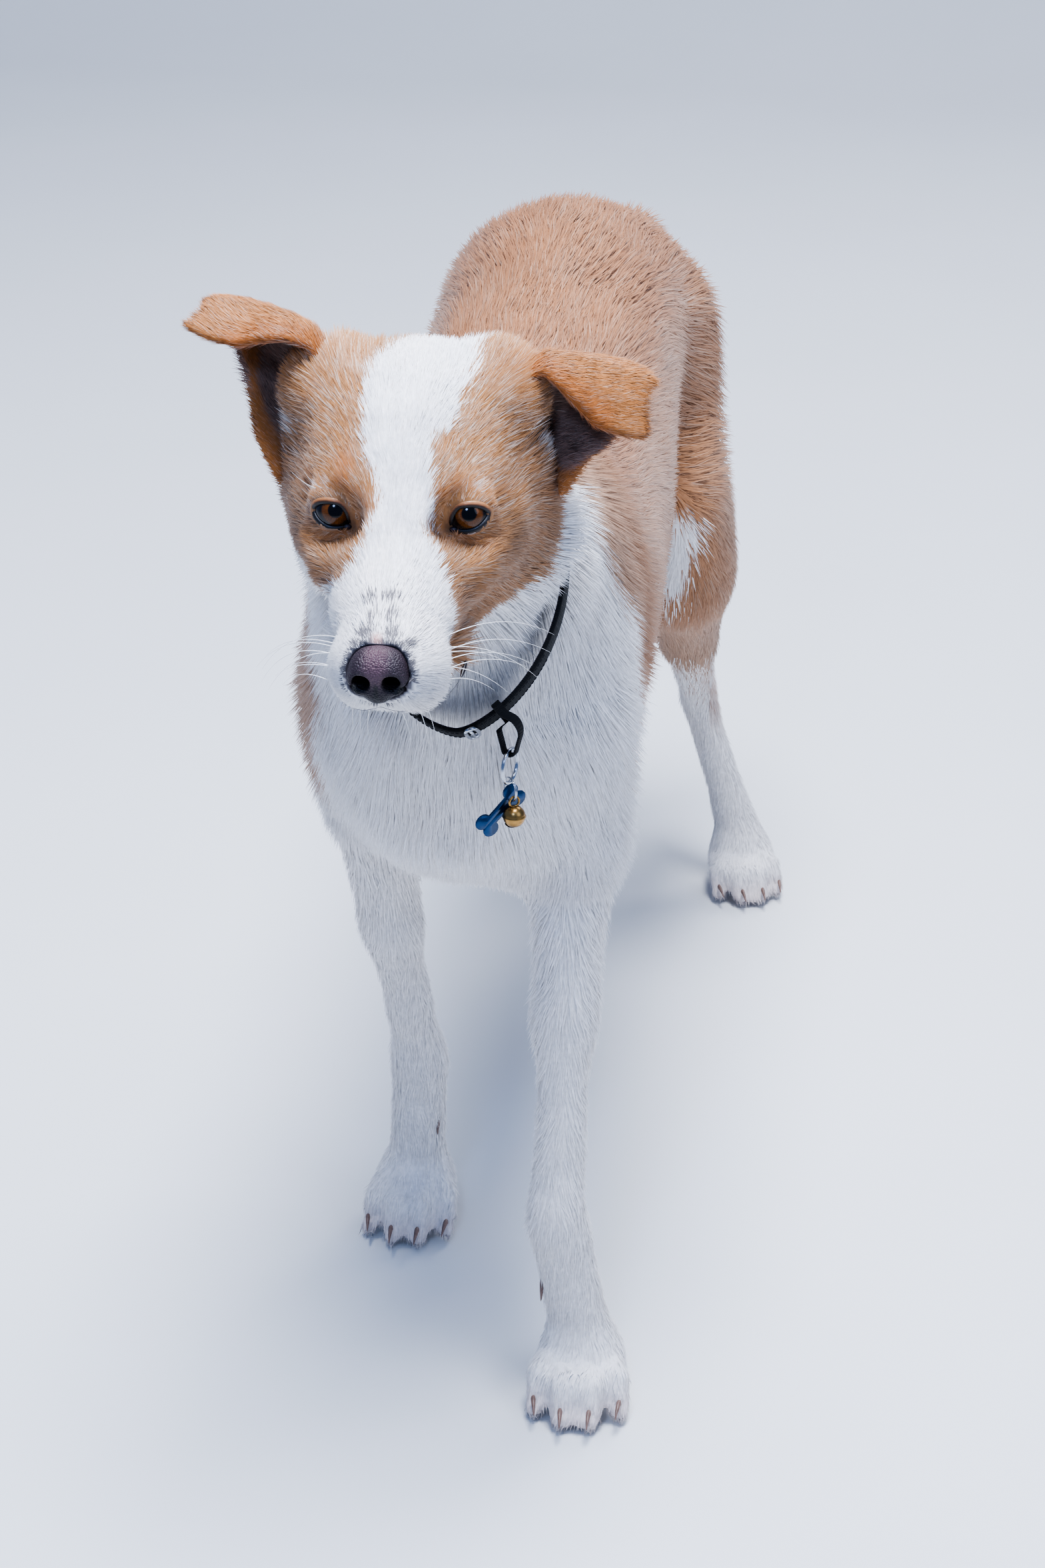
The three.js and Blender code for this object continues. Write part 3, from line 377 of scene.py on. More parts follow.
def linear(colour):
    """A colour such as "#c8966a" as linear red, green and blue."""
    value = colour.lstrip("#")
    srgb = np.array([int(value[i:i + 2], 16) for i in (0, 2, 4)]) / 255
    return np.where(srgb <= 0.04045, srgb / 12.92, ((srgb + 0.055) / 1.055) ** 2.4)


# Meshes from arrays.


def placed(name, data):
    """A new object of the scene."""
    item = bpy.data.objects.new(name, data)
    bpy.context.scene.collection.objects.link(item)
    return item


def new_piece(name, points, faces):
    """A mesh object from the dog's points, with faces of any one size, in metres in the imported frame."""
    mesh = bpy.data.meshes.new(name)
    points = np.asarray(points, float)
    if isinstance(faces, np.ndarray):
        count, size = faces.shape
        mesh.vertices.add(len(points))
        mesh.vertices.foreach_set("co", ((points + SHIFT) * MM).astype(np.float32).ravel())
        mesh.loops.add(count * size)
        mesh.loops.foreach_set("vertex_index", faces.astype(np.int32).ravel())
        mesh.polygons.add(count)
        mesh.polygons.foreach_set("loop_start", np.arange(0, count * size, size, dtype=np.int32))
        mesh.update(calc_edges=True)
    else:
        mesh.from_pydata([tuple(v) for v in (points + SHIFT) * MM], [], [tuple(f) for f in faces])
    mesh.shade_smooth()
    piece = placed(name, mesh)
    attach(piece, "root")
    return piece


def read(items, field, size=3, kind=np.float32):
    """A field of every item of a mesh, a row to each."""
    values = np.empty(len(items) * size, kind)
    items.foreach_get(field, values)
    return values.reshape(-1, size)


def dog_points(mesh):
    return read(mesh.vertices, "co").astype(float) / MM - SHIFT


def triangles_of(mesh):
    mesh.calc_loop_triangles()
    return read(mesh.loop_triangles, "vertices", 3, np.int32)


def keep(mesh, name, kind, values):
    """Stores values at the vertices as an attribute."""
    layer = mesh.attributes.new(name, kind, "POINT")
    field = "vector" if kind == "FLOAT_VECTOR" else "value"
    layer.data.foreach_set(field, np.asarray(values, np.float32).ravel())


def paint(mesh, colours):
    """Stores linear colours at the vertices as the attribute "coat"."""
    layer = mesh.color_attributes.new("coat", "FLOAT_COLOR", "POINT")
    rgba = np.ones((len(mesh.vertices), 4), np.float32)
    rgba[:, :3] = colours
    layer.data.foreach_set("color", rgba.ravel())


def remove_piece(name):
    old = bpy.data.objects.get(name)
    if old:
        bpy.data.objects.remove(old)


# The skin's field.

FEET_TOP = 38.0
FINE_CELL = 1.3  # for the toes and the thin ears
FLESH = (
    "head", "neck", "collar", "trunk", "tail",
    *(f"{part}_{side}" for part in ("foreleg", "forefoot", "thigh", "shank", "hindfoot") for side in SIDES),
)
EARS = tuple(f"ear_{side}" for side in SIDES)


def node_soup(names):
    points, faces, count = [], [], 0
    for name in names:
        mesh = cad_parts[name].data
        p = dog_points(mesh)
        points.append(p)
        faces.append(triangles_of(mesh) + count)
        count += len(p)
    return np.concatenate(points), np.concatenate(faces)


def level_set(points, cell, band, **faces):
    """A level set of a closed mesh. faces are its triangles or quads, band its half width in cells."""
    return vdb.FloatGrid.createLevelSetFromPolygons(
        np.asarray(points, np.float32), transform=vdb.createLinearTransform(cell), halfWidth=band,
        **{kind: np.asarray(value).astype(np.uint32) for kind, value in faces.items()})


def dense(grid, cell, low, high, far):
    """The grid's values in a box, as an array with the places of its cells along each axis."""
    first = np.floor(np.array(low) / cell).astype(int)
    last = np.ceil(np.array(high) / cell).astype(int)
    values = np.full(last - first + 1, far, np.float32)
    grid.copyToArray(values, ijk=tuple(int(i) for i in first))
    axes = [np.arange(first[a], last[a] + 1) * cell for a in range(3)]
    return values, axes


def node_grid(names, cell, band):
    """A level set of some nodes in a box with room round them: its values and its axes."""
    points, triangles = node_soup(names)
    grid = level_set(points, cell, band, triangles=triangles)
    return dense(grid, cell, points.min(0) - 9, points.max(0) + 9, band * cell)


def within(onto, axes):
    """The numbers of the planes that lie within a grid's axes."""
    return [np.nonzero((planes > axis[0]) & (planes < axis[-1]))[0] for planes, axis in zip(onto, axes)]


def blur(values, passes):
    """A few passes of a 1-2-1 filter along each axis."""
    for _ in range(passes):
        for axis in range(3):
            v = np.moveaxis(values, axis, 0)
            v[1:-1] = 0.5 * v[1:-1] + 0.25 * (v[:-2] + v[2:])
    return values


def resample(values, axes, onto):
    """Linear interpolation onto another grid of planes, one axis at a time."""
    for axis in range(3):
        q = (onto[axis] - axes[axis][0]) / (axes[axis][1] - axes[axis][0])
        i = np.clip(np.floor(q).astype(int), 0, len(axes[axis]) - 2)
        t = np.clip(q - i, 0, 1).astype(np.float32)
        v = np.moveaxis(values, axis, 0)
        shape = (-1,) + (1,) * (v.ndim - 1)
        v = v[i] * (1 - t.reshape(shape)) + v[i + 1] * t.reshape(shape)
        values = np.moveaxis(v, 0, axis)
    return values


def planes(stations):
    """Places along an axis from (place, spacing) pairs: each spacing holds until the next place."""
    out = []
    for (start, step), (end, _) in zip(stations, stations[1:]):
        count = max(1, round((end - start) / step))
        out += list(start + (end - start) * np.arange(count) / count)
    out.append(stations[-1][0])
    out = np.array(out)
    soft = out.copy()
    for _ in range(6):
        soft[1:-1] = 0.5 * soft[1:-1] + 0.25 * (soft[:-2] + soft[2:])
    return soft


def skin_planes(cell):
    fine, mid, coarse = cell, 2.35 * cell, 4.8 * cell
    return (
        planes([(-142, fine), (142, fine)]),
        planes([(-446, fine), (-226, mid), (-130, coarse), (320, mid), (520, mid)]),
        planes([(-12, fine), (44, coarse), (420, fine), (640, fine)]),
    )


def collar_frame():
    """The collar's middle and its directions: long from the front to the nape, across, along the neck."""
    front, back = np.array([16.0, -284, 405]), np.array([-6.0, -190, 548])
    long = unit(back - front)
    along = unit(np.cross([1.0, 0, 0], long))
    return (front + back) / 2, long, np.cross(along, long), along, np.linalg.norm(back - front) / 2


COLLAR_HALF_ACROSS, COLLAR_WIDTH, COLLAR_THICK, COLLAR_SHARPNESS = 57.0, 15.0, 2.6, 1.3


def collar_loop(angles, offset=0.0):
    """Points of the collar's loop in its plane, offset outward."""
    half = collar_frame()[4]

    def place(a):
        power = np.where(np.cos(a) > 0, 1, COLLAR_SHARPNESS)
        across = np.sign(np.sin(a)) * np.abs(np.sin(a)) ** power
        return np.stack([half * np.cos(a), COLLAR_HALF_ACROSS * across], -1)

    run = unit(place(angles + 0.05) - place(angles - 0.05))
    return place(angles) + np.stack([run[..., 1], -run[..., 0]], -1) * offset


def collar_place(p):
    """A point in the collar's frame: its distance outside the loop, and its place along the neck."""
    middle, long, across, along, _ = collar_frame()
    q = p - middle
    loop = collar_loop(np.arange(96) / 96 * 2 * np.pi)
    return outline_distance(np.stack([q @ long, q @ across], -1), loop), q @ along


NOSTRIL = np.array(((7.3, -13, -0.9), (7.0, -2, 0.3)))
NOSTRIL_SLIT = np.array(((8.2, -11.5, -3.0), (12.0, -7.5, -4.6), (15.4, -2.5, -4.6)))


def nose_field(q):
    """The nose leather in the head's frame."""
    sides = (q, mirrored(q))
    body = ellipsoid(q, NOSE_AT + (0, 1.2, 0.8), NOSE_HALF * (0.80, 1, 0.94))
    for side in sides:
        body = blend(body, ellipsoid(side, NOSE_AT + (8.8, -1.5, -1.4), (5.9, 9.6, 7.6)), 4)
        body = blend(body, ellipsoid(side, NOSE_AT + (6.4, 0.5, 4.4), (5.2, 8.5, 5.6)), 4)
    body = blend(body, ellipsoid(q, NOSE_AT + (0, -4, -8), (6, 6, 5.5)), 5)
    for side in sides:
        body = carve(body, polyline(side, NOSE_AT + NOSTRIL) - 4.2, 2.0)
        body = carve(body, polyline(side, NOSE_AT + NOSTRIL_SLIT) - 2.0, 1.8)
    groove = NOSE_AT + np.array(((0, -12.6, 1.5), (0, -12.4, -6), (0, -8.6, -13.5)))
    return carve(body, polyline(q, groove) - 1.0, 1.2)


def detailed_head(q):
    """The head's skin in its own frame, with lips and the seat of the nose, and the head without them."""
    sides = (q, mirrored(q))
    plain = head_field(q)
    for side in sides:
        plain = blend(plain, ellipsoid(side, (20.0, -38.0, -52.0), (12.0, 16.0, 13.0)), 7)
    lips = both_sides(q, lambda r: polyline(r, MOUTH))
    d = plain + 2.2 * np.exp(-(lips / 2.2) ** 2)
    d = d + 4.5 * ramp(-8, -24, q[..., 0]) * ramp(-48, -74, q[..., 1])
    for side in sides:
        d = blend(d, ellipsoid(side, (15, -80, -41), (13, 17, 14)) + 2.0, 5)
        d = blend(d, ellipsoid(side, (19.0, -10.0, 6.0), (8.5, 10.5, 15.0)) + 1.2, 7)
        d = d + 0.9 * np.exp(-((side[..., 0] - 8) / 4) ** 2 - ((side[..., 1] + 99) / 10) ** 2)
    return d, plain


def skin_field(cell):
    """The whole skin's field on the grid of planes, with the planes."""
    rough = 2.4
    points, triangles = node_soup(FLESH)
    shell, quads = level_set(points, rough, 3, triangles=triangles).convertToQuads(isovalue=0.55)
    grid = level_set(shell, rough, 9, quads=quads)
    low, high = points.min(0) - 12, points.max(0) + 12
    far = 9 * rough
    body, axes = dense(grid, rough, low, high, far)
    smooth = blur(body.copy(), 14)
    high = ramp(290, 360, axes[2]) * np.ones(body.shape)
    ends = ramp(445, 425, axes[1])[:, None] * ramp(-330, -270, axes[1])[:, None]
    body = mix(blur(body, 2), smooth, (high * ends).astype(np.float32)) + 0.55
    onto = skin_planes(cell)
    field = resample(body, axes, onto)
    inside = [(onto[a] >= axes[a][0]) & (onto[a] <= axes[a][-1]) for a in range(3)]
    field[~inside[0]] = far
    field[:, ~inside[1]] = far
    field[:, :, ~inside[2]] = far

    field = fine_feet(field, onto)

    near = np.argwhere((field < 4) & (field > -24))
    p = np.stack([onto[a][near[:, a]] for a in range(3)], -1).astype(np.float32)
    value = field[tuple(near.T)]
    q = to_head(p).astype(np.float32)
    close = (np.abs(q[:, 0]) < 75) & (q[:, 1] < 130) & (q[:, 1] > -125) & (q[:, 2] > -100) & (q[:, 2] < 75)
    head_depth = np.full(len(p), 40, np.float32)
    detail = np.full(len(p), 40, np.float32)
    detail[close], head_depth[close] = detailed_head(q[close])
    depth = coat_depth(p, head_depth)
    in_face = ramp(45, 5, q[:, 1]) * ramp(6, -4, head_depth)
    out = value + depth + 7 * in_face
    out = blend(out, detail + depth, mix(22, 6, in_face))

    gap, along = collar_place(p)
    band = np.maximum(-(gap + 2.5), np.abs(along) - COLLAR_WIDTH / 2 - 2)
    out = np.where(band < 6, carve(out, band, 5), out)

    for side in SIDES.values():
        here = by_eye(q, side, 30)
        across, r = opening_distance(q[here].astype(float), side)
        lid = np.maximum(r - 12.3, across - 9)
        v = blend(out[here], lid, 8)
        v = carve(v, np.maximum(np.maximum(across, r - 22), EYE_RADIUS - 1.8 - r), 1.0)
        out[here] = v
    seat = nose_field(q[(q[:, 1] < -70)].astype(float))
    tip = q[:, 1] < -70
    out[tip] = carve(out[tip], seat - 0.2, 1.5)

    field = np.where(field > 0, far, -far).astype(np.float32)
    field[tuple(near.T)] = np.clip(out, -far, far)
    return field, onto


def fine_feet(field, onto):
    """The field with the feet below their wrists taken from a finer level set, so that the toes part."""
    for name in FEET:
        values, axes = node_grid([name], FINE_CELL, 8)
        window = within(onto, axes)
        window[2] = window[2][onto[2][window[2]] < FEET_TOP]
        part = resample(values, axes, [onto[a][window[a]] for a in range(3)])
        share = ramp(FEET_TOP, FEET_TOP - 10, onto[2][window[2]]).astype(np.float32)
        place = np.ix_(*window)
        field[place] = mix(field[place], part, share)
    return field


def ear_field(field, onto):
    """Joins the ears to the field, from a finer level set of their own."""
    values, axes = node_grid(EARS, FINE_CELL, 6)
    window = within(onto, axes)
    part = resample(blur(values, 1), axes, [onto[a][window[a]] for a in range(3)])
    place = np.ix_(*window)
    field[place] = blend(field[place], part - 0.45, 7)
    return field


def surface_of(field, onto):
    """The field's zero surface as points of the dog and quads."""
    grid = vdb.FloatGrid(float(field.max()))
    grid.copyFromArray(np.ascontiguousarray(field), ijk=(0, 0, 0), tolerance=0.0)
    points, quads = grid.convertToQuads(isovalue=0)
    points = np.asarray(points, float)
    place = [np.interp(points[:, a], np.arange(len(onto[a])), onto[a]) for a in range(3)]
    return np.stack(place, -1), np.asarray(quads).astype(np.int32)


# Which way the coat lies: guides on the head and on the body, a place and a direction to each. One off
# the middle stands for both sides.

HEAD_FLOW = [
    (0, -96, -14, 0, 1, 0.7), (0, -70, -12, 0, 1, 0.15), (14, -72, -18, 0.3, 1, 0.05),
    (0, -40, -2, 0, 1, 0.45), (0, -15, 20, 0, 0.75, 0.7), (0, 15, 44, 0, 0.85, 0.5),
    (0, 50, 54, 0, 1, 0), (20, -10, 24, 0.5, 0.55, 0.7), (30, 15, 40, 0.55, 0.8, 0.3),
    (42, -2, 14, 0.8, 0.55, 0.25), (52, 15, 5, 0.4, 0.9, 0.1), (20, -28, 2, 0.05, 0.25, 0.95),
    (24, -42, -14, 0.3, 0.95, -0.05), (36, -25, -22, 0.35, 0.9, -0.25), (44, -8, -26, 0.4, 0.85, -0.4),
    (52, 10, -30, 0.3, 0.85, -0.5), (42, -8, -48, 0.2, 0.7, -0.7), (60, 30, -30, 0.25, 0.7, -0.65),
    (30, -60, -32, 0.2, 1, -0.1), (31, -62, -50, 0.2, 0.8, -0.5), (24, -86, -46, 0.5, 0.55, -0.65),
    (8, -99, -46, 0.35, -0.1, -1), (0, -98, -52, 0, 0, -1), (0, -88, -62, 0, 0.6, -0.8),
    (14, -60, -68, 0.1, 1, -0.2), (20, -20, -76, 0.1, 1, -0.25), (0, 10, -80, 0, 0.9, -0.5),
    (52, 55, -40, 0.2, 0.6, -0.8), (45, 62, 20, 0.3, 0.9, -0.3), (16, -97, -24, 1, 0.6, 0.1),
    (18, -94, -40, 0.9, 0.3, -0.5),
]
BODY_FLOW = [
    (0, -225, 560, 0, 0.8, -0.55), (0, -180, 520, 0, 0.9, -0.4), (0, -100, 500, 0, 1, -0.15),
    (0, 100, 490, 0, 1, -0.05), (0, 300, 500, 0, 1, -0.1), (0, 420, 480, 0, 0.8, -0.6),
    (0, 470, 380, 0, 0.1, -1), (0, 490, 200, 0, 0.2, -1), (70, -215, 480, 0.1, 0.35, -0.9),
    (60, -250, 440, 0, 0.1, -1), (0, -270, 440, 0, 0, -1), (0, -265, 380, 0, 0.1, -1),
    (60, -230, 380, 0.1, 0.2, -0.95), (90, -170, 400, 0.05, 0.6, -0.75), (95, -100, 400, 0, 0.9, -0.4),
    (100, 100, 380, 0, 0.95, -0.3), (80, 260, 380, 0, 0.85, -0.5), (70, 330, 380, 0, 0.5, -0.85),
    (0, -230, 320, 0, 0.3, -0.95), (0, -100, 300, 0, 1, -0.1), (0, 100, 310, 0, 1, 0),
    (60, 270, 290, 0, 0.35, -0.9), (60, -200, 300, 0, 0.15, -1), (60, -200, 200, 0, 0.1, -1),
    (56, -170, 110, 0, 0, -1), (60, 330, 220, 0, 0.5, -0.85), (60, 430, 140, 0, 0.1, -1),
    (78, 420, 60, 0, 0, -1),
]
# The feet and how many degrees each is turned from straight ahead.
FEET = {"forefoot_left": 4, "forefoot_right": 2, "hindfoot_left": 20, "hindfoot_right": -8}


def flow_guides():
    """The places of the guides and the unit directions in which the coat lies there."""
    places, ways = [], []
    for rows, turn, origin in ((HEAD_FLOW, HEAD_TURN.T, HEAD_PLACE), (BODY_FLOW, np.eye(3), 0)):
        for row in rows:
            for side in SIDES.values() if row[0] else (1.0,):
                point, way = np.array(row, float).reshape(2, 3) * (side, 1, 1)
                places.append(point @ turn + origin)
                ways.append(way @ turn)
    for name, turn in FEET.items():
        middle = node_middle(name) - SHIFT
        toe = np.array([math.sin(math.radians(turn)), -math.cos(math.radians(turn)), 0])
        places += [middle * (1, 1, 0) + toe * 22 + (0, 0, 20), middle * (1, 1, 0) - toe * 12 + (0, 0, 45)]
        ways += [toe * 0.8 + (0, 0, -0.6), toe * 0.1 + (0, 0, -1)]
    return np.array(places), unit(ways)


def coat_flow(p, normals):
    """The unit direction along which the coat lies at points of the skin."""
    places, ways = flow_guides()
    flow = np.zeros_like(p)
    for first in range(0, len(p), 20000):
        part = slice(first, first + 20000)
        square = ((p[part, None] - places) ** 2).sum(-1)
        weight = 1 / (square + 30) ** 1.9
        flow[part] = (weight[..., None] * ways).sum(1) / weight.sum(1, keepdims=True)
    return laid(flow, normals)


EAR_HOLLOW = {
    "left": [(52, 42, 6), (85, 43, 20), (114, 46, 30)],
    "right": [(50, 42, 14), (78, 45, 40), (102, 48, 70)],
}
EAR_FOLD = {
    "left": [(42, 42, 34), (62, 43, 50), (76, 36, 43), (88, 34, 31)],
    "right": [(40, 42, 36), (46, 42, 59), (62, 38, 68), (78, 37, 65)],
}
EAR_FRINGE = [(55, 28, 19), (60, 32, 5), (65, 36, -9)]
EAR_WAY = {"left": (0.88, 0.12, -0.1), "right": (0.8, 0.15, 0.5)}


def ear_places(q, normals):
    """For points of the head's frame: how near an ear, 0 outside to 1 inside it, and the way to its tip."""
    inner = np.zeros(len(q))
    way = np.zeros_like(q)
    for side, sign in SIDES.items():
        here = q[:, 0] * sign > 0
        middle = np.array(EAR_HOLLOW[side]) * (sign, 1, 1)
        t = np.clip((np.abs(q[:, 0]) - abs(middle[0, 0])) / abs(middle[-1, 0] - middle[0, 0]), 0, 1)
        centre = np.stack([np.interp(t, [0, 0.5, 1], middle[:, a]) for a in range(3)], -1)
        facing = (normals * unit(centre - q)).sum(-1)
        inner = np.where(here, ramp(0.1, 0.45, facing) * ramp(0.94, 0.80, t), inner)
        way[here] = np.array(EAR_WAY[side]) * (sign, 1, 1)
    return inner, way


REGIONS = ("face_left", "face_right", "crown_left", "crown_right", "ear_left", "ear_right", "neck_left",
           "neck_right", "breast", "trunk_front", "trunk_rear", "forelegs", "hindlegs", "feet", "tail")


def region_numbers(p, head_depth, ear_near):
    """The number in REGIONS of the part of the coat that each point of the skin belongs to."""
    x, y, z = p.T
    q = to_head(p)
    left, head, neck = q[:, 0] > 0, head_depth < -1, (y < -130) & (z > 330)
    face = head & (q[:, 1] < 26)
    rules = (  # the first that holds decides
        ("ear_left", ear_near & left), ("ear_right", ear_near), ("face_left", face & left),
        ("face_right", face), ("crown_left", head & left), ("crown_right", head),
        ("tail", (y > 446) & (z > 160) & (np.abs(x - 3) < 33)), ("feet", z < 48),
        ("hindlegs", (z <= 300) & (y >= 200)), ("forelegs", (z <= 290) & (y < 60)),
        ("breast", (y < -130) & (z <= 405) & (z > 270)), ("neck_left", neck & (x > 0)),
        ("neck_right", neck), ("trunk_front", y < 160), ("trunk_rear", y >= 160),
    )
    return np.select([rule for _, rule in rules], [REGIONS.index(name) for name, _ in rules])


# Colour of the coat.


BROW = [(-30, -14, 19), (-36, -10, 17), (-43, -5, 11), (32, -12, 17), (38, -8, 17), (45, -2, 11)]
FRECKLES = [(-7, -86, -14), (5, -86, -14), (-5, -79, -12), (3, -79, -12), (-7, -68, -11), (2, -68, -11),
            (13, -89, -18), (-12, -90, -18)]


class Palette:
    """The coat's colours as linear values, from the scene's settings."""

    def __init__(self, settings):
        for name in ("white", "tan", "face_tan", "rust", "cream", "umber", "soot", "pink", "ear_tan",
                     "ear_inside"):
            setattr(self, name, np.array(getattr(settings, name)[:3]))


def near_points(q, places, radii):
    """A column that is 1 at the given places and fades to 0 at their radii."""
    out = np.zeros((len(q), 1))
    for place, radius in zip(places, radii):
        d = np.sqrt(((q - np.array(place)) ** 2).sum(-1, keepdims=True))
        out = np.maximum(out, ramp(radius, radius * 0.35, d))
    return out


def coat_colours(p, normals, head_depth, ear_near, palette, draws):
    """Linear colours at points of the dog. draws are random numbers that decide single hairs."""
    q = to_head(p)
    x, y, z = np.hsplit(p, 3)
    _, qy, qz = np.hsplit(q, 3)
    first, second, third = np.hsplit(draws, 3)
    noise = Noise(SEED + 1)
    coarse, fine = noise(p, 34.0), noise(p, 7.0)
    on_head = head_depth[:, None] < 2
    tan_share = np.where(on_head, face_tan(q, noise(q, 9.0))[:, None], body_tan(p, coarse)[:, None])
    is_tan = tan_share > 0.12 + 0.76 * first

    # The body's tan: paler in front, on the haunch and in streaks, darker on the back and the knee.
    body = palette.tan * (1 + 0.10 * coarse[:, 1:2] + 0.07 * fine[:, :1])
    streak = ramp(0.1, 0.75, noise(p * (1, 0.45, 0.45), 6.0)[:, 1:2])
    body = mix(body, palette.cream, 0.06 * streak + 0.15 * (second > 0.8))
    body = mix(body, palette.umber, 0.25 * (second < 0.22))
    body = mix(body, palette.cream, 0.35 * ramp(-135, -215, y) * (z > 300))
    body = mix(body, body * (0.86, 0.78, 0.70), 0.7 * ramp(455, 500, z) * (y > -150))
    body = mix(body, palette.cream, 0.30 * ramp(190, 330, y) * ramp(430, 280, z))
    body = mix(body, palette.umber, 0.35 * ramp(200, 230, y) * ramp(270, 200, z))

    # The face's tan: dark hairs on the cheeks, dark hairs and painted shade below the eyes, a deep spot
    # over each eye, a pale brow.
    side = np.abs(q[:, :1])
    sides = np.hstack([side, qy, qz])
    cheek = ramp(20, 48, side) * ramp(20, -35, qz)
    # low: dark hairs and painted shade on the face below the eyes.
    low = ramp(2, -22, qz)
    umber = np.clip(0.12 + 0.14 * fine[:, :1] + 0.45 * (third > 0.70), 0, 1)
    head = mix(palette.face_tan, palette.umber, umber)
    head = mix(head, palette.cream, 0.10 * ramp(-0.1, 0.6, noise(q, 4.0)[:, 1:2])
               + (0.42 - 0.12 * low) * (third < 0.26))
    head = mix(head, palette.umber * 0.8, (0.30 + 0.35 * ramp(-0.3, 0.5, noise(q, 11.0)[:, 2:]))
               * np.maximum(cheek, 0.6 * low))
    head = mix(head, palette.rust, 0.75 * near_points(q, [(-24, -14, 24), (26, -15, 22)], [12, 8]))
    head = mix(head, palette.umber, 0.55 * near_points(sides, [(50, -2, -12), (47, -4, -22)], [9, 9]))
    brow = near_points(q, BROW, [6, 7, 6, 6, 8, 6]) > 0.25 + 0.65 * second
    head = mix(head, mix(palette.cream, palette.white, 0.5), 0.9 * brow)
    head = mix(head, palette.ear_tan, 0.6 * near_points(sides, [(46, 44, 40)], [16]))

    # The white: warmer on the legs, with tan on the hocks and the shanks, pink between the toes.
    white = palette.white * (1 + 0.03 * fine[:, 2:])
    white = mix(white, palette.cream, 0.10 * ramp(330, 260, z) + 0.10 * ramp(0, 1, coarse[:, :1]))
    hock = near_points(p * (0, 1, 1), [(0, 402, 150), (0, 462, 158)], [40, 40]) * (np.abs(x) > 66)
    white = mix(white, palette.tan, 0.45 * hock)
    shank = (ramp(100, 200, z) * ramp(300, 250, z) * (y > 240)
             * mix(0.3, 0.75, ramp(52, 78, np.abs(x))))
    white = mix(white, palette.tan, 0.75 * (shank > 0.15 + 0.75 * first))
    white = mix(white, palette.pink, 0.22 * ramp(26, 8, z))
    grey = (third > 0.80) * on_head * mix(0.14, 0.30, ramp(-30, -60, qy))
    colour = np.where(is_tan, np.where(on_head, head, body), mix(white, palette.soot, grey))

    # The muzzle: freckles round the nose, dark hairs on the chin, bare pink above the nose.
    by_nose = 0.95 * ramp(4.5, 0.4, nose_field(q)[:, None]) * (qz > -46)
    freckle = np.maximum(1.05 * near_points(q, FRECKLES, [9.3, 9.3, 8.2, 8.2, 8, 7, 5.5, 5.5]), by_nose)
    beard = 0.62 * ramp(-50, -60, qz) * ramp(-70, -86, qy) * (qz > -78)
    colour = mix(colour, palette.soot * 0.6, 0.85 * (np.maximum(freckle, beard) > 0.22 + 0.78 * second))
    colour = mix(colour, palette.pink, 0.85 * near_points(q, [(-1, -89, -16), (-1, -85, -14)], [5.0, 3.8]))

    # Round the eyes: a dark rim, painted light outside it as paler tan that lifts the shade of the socket,
    # and dark hairs from the inner corner down.
    rim = np.full((len(p), 1), 30.0)
    for sign in SIDES.values():
        close = by_eye(q, sign, 24)
        rim[close, 0] = rim_distance(q[close], sign)
    colour = mix(colour, palette.umber * 0.7, 0.75 * ramp(2.6, 1.0, rim))
    # Painted light: paler tan beyond the rim, lifting the shade in the hollow round the eye.
    painted_light_round_eye = ramp(2.0, 4.5, rim) * ramp(15, 8, rim) * is_tan
    colour = mix(colour, palette.face_tan * 1.3, 0.42 * painted_light_round_eye)
    tear = near_points(sides, [(23, -16, -5), (21, -22, -3), (19, -28, -1), (17, -33, 0)], [4.5] * 4)
    colour = mix(colour, palette.umber * 0.25, 0.62 * (tear > 0.25 + 0.5 * second))
    colour = mix(colour, palette.soot, 0.12 * near_points(sides, [(23, -22, -12), (20, -27, -13)], [6, 6]))

    # The ears: rust along the fold, paler and barer inside with painted shade deeper in, cream wisps at the
    # front edge.
    inner = ear_places(q, normals)[0][:, None]
    base = ramp(70, 46, side)
    fold = np.minimum(*(polyline(q, np.array(EAR_FOLD[name]) * (sign, 1, 1))[:, None]
                        for name, sign in SIDES.items()))
    outside = mix(palette.ear_tan * (1 + 0.14 * fine[:, :1]), palette.rust, ramp(15, 4, fold))
    outside = mix(outside, palette.rust, 0.35 * (third > 0.74))
    outside = mix(outside, palette.cream, 0.2 * (second < 0.2))
    # Painted shade: the inside is darker further back in the ear's hollow.
    inside = mix(palette.ear_inside, palette.ear_inside * 0.7, ramp(38, 52, qy))
    inside = inside * (1 + 0.3 * fine[:, :1] - 0.45 * (third > 0.7))
    inside = mix(inside, palette.rust, 0.75 * ramp(17, 6, fold) * (first > 0.25))
    inside = mix(inside, palette.ear_tan, 0.8 * ramp(0.9, 0.5, inner))
    inside = mix(inside, palette.cream, (second > 0.84 - 0.12 * base) * 0.6 * (0.25 + 0.75 * base))
    wisps = near_points(sides, EAR_FRINGE, [9, 10, 9]) > 0.3 + 0.7 * second
    colour = np.where(wisps, mix(palette.cream, palette.white, 0.25), colour)
    colour = np.where(ear_near[:, None], mix(outside, inside, inner), colour)
    return np.clip(colour * (1 + 0.26 * (third - 0.5)), 0.004, 0.95)


# Tufts.


TUFT_FACES = np.array([(0, 1, 2), (0, 2, 3), (2, 1, 3), (1, 0, 3)])
TUFT_SHADE_TONES = np.array([0.84, 0.84, 0.84, 1.04])  # painted shade: darker at the root, where the hairs crowd, than at the tip
TUFT_PATCH = np.array([(0, 0), (1, 0), (0.5, 0.5), (0.5, 1)]) * 0.003  # its points in the UV square


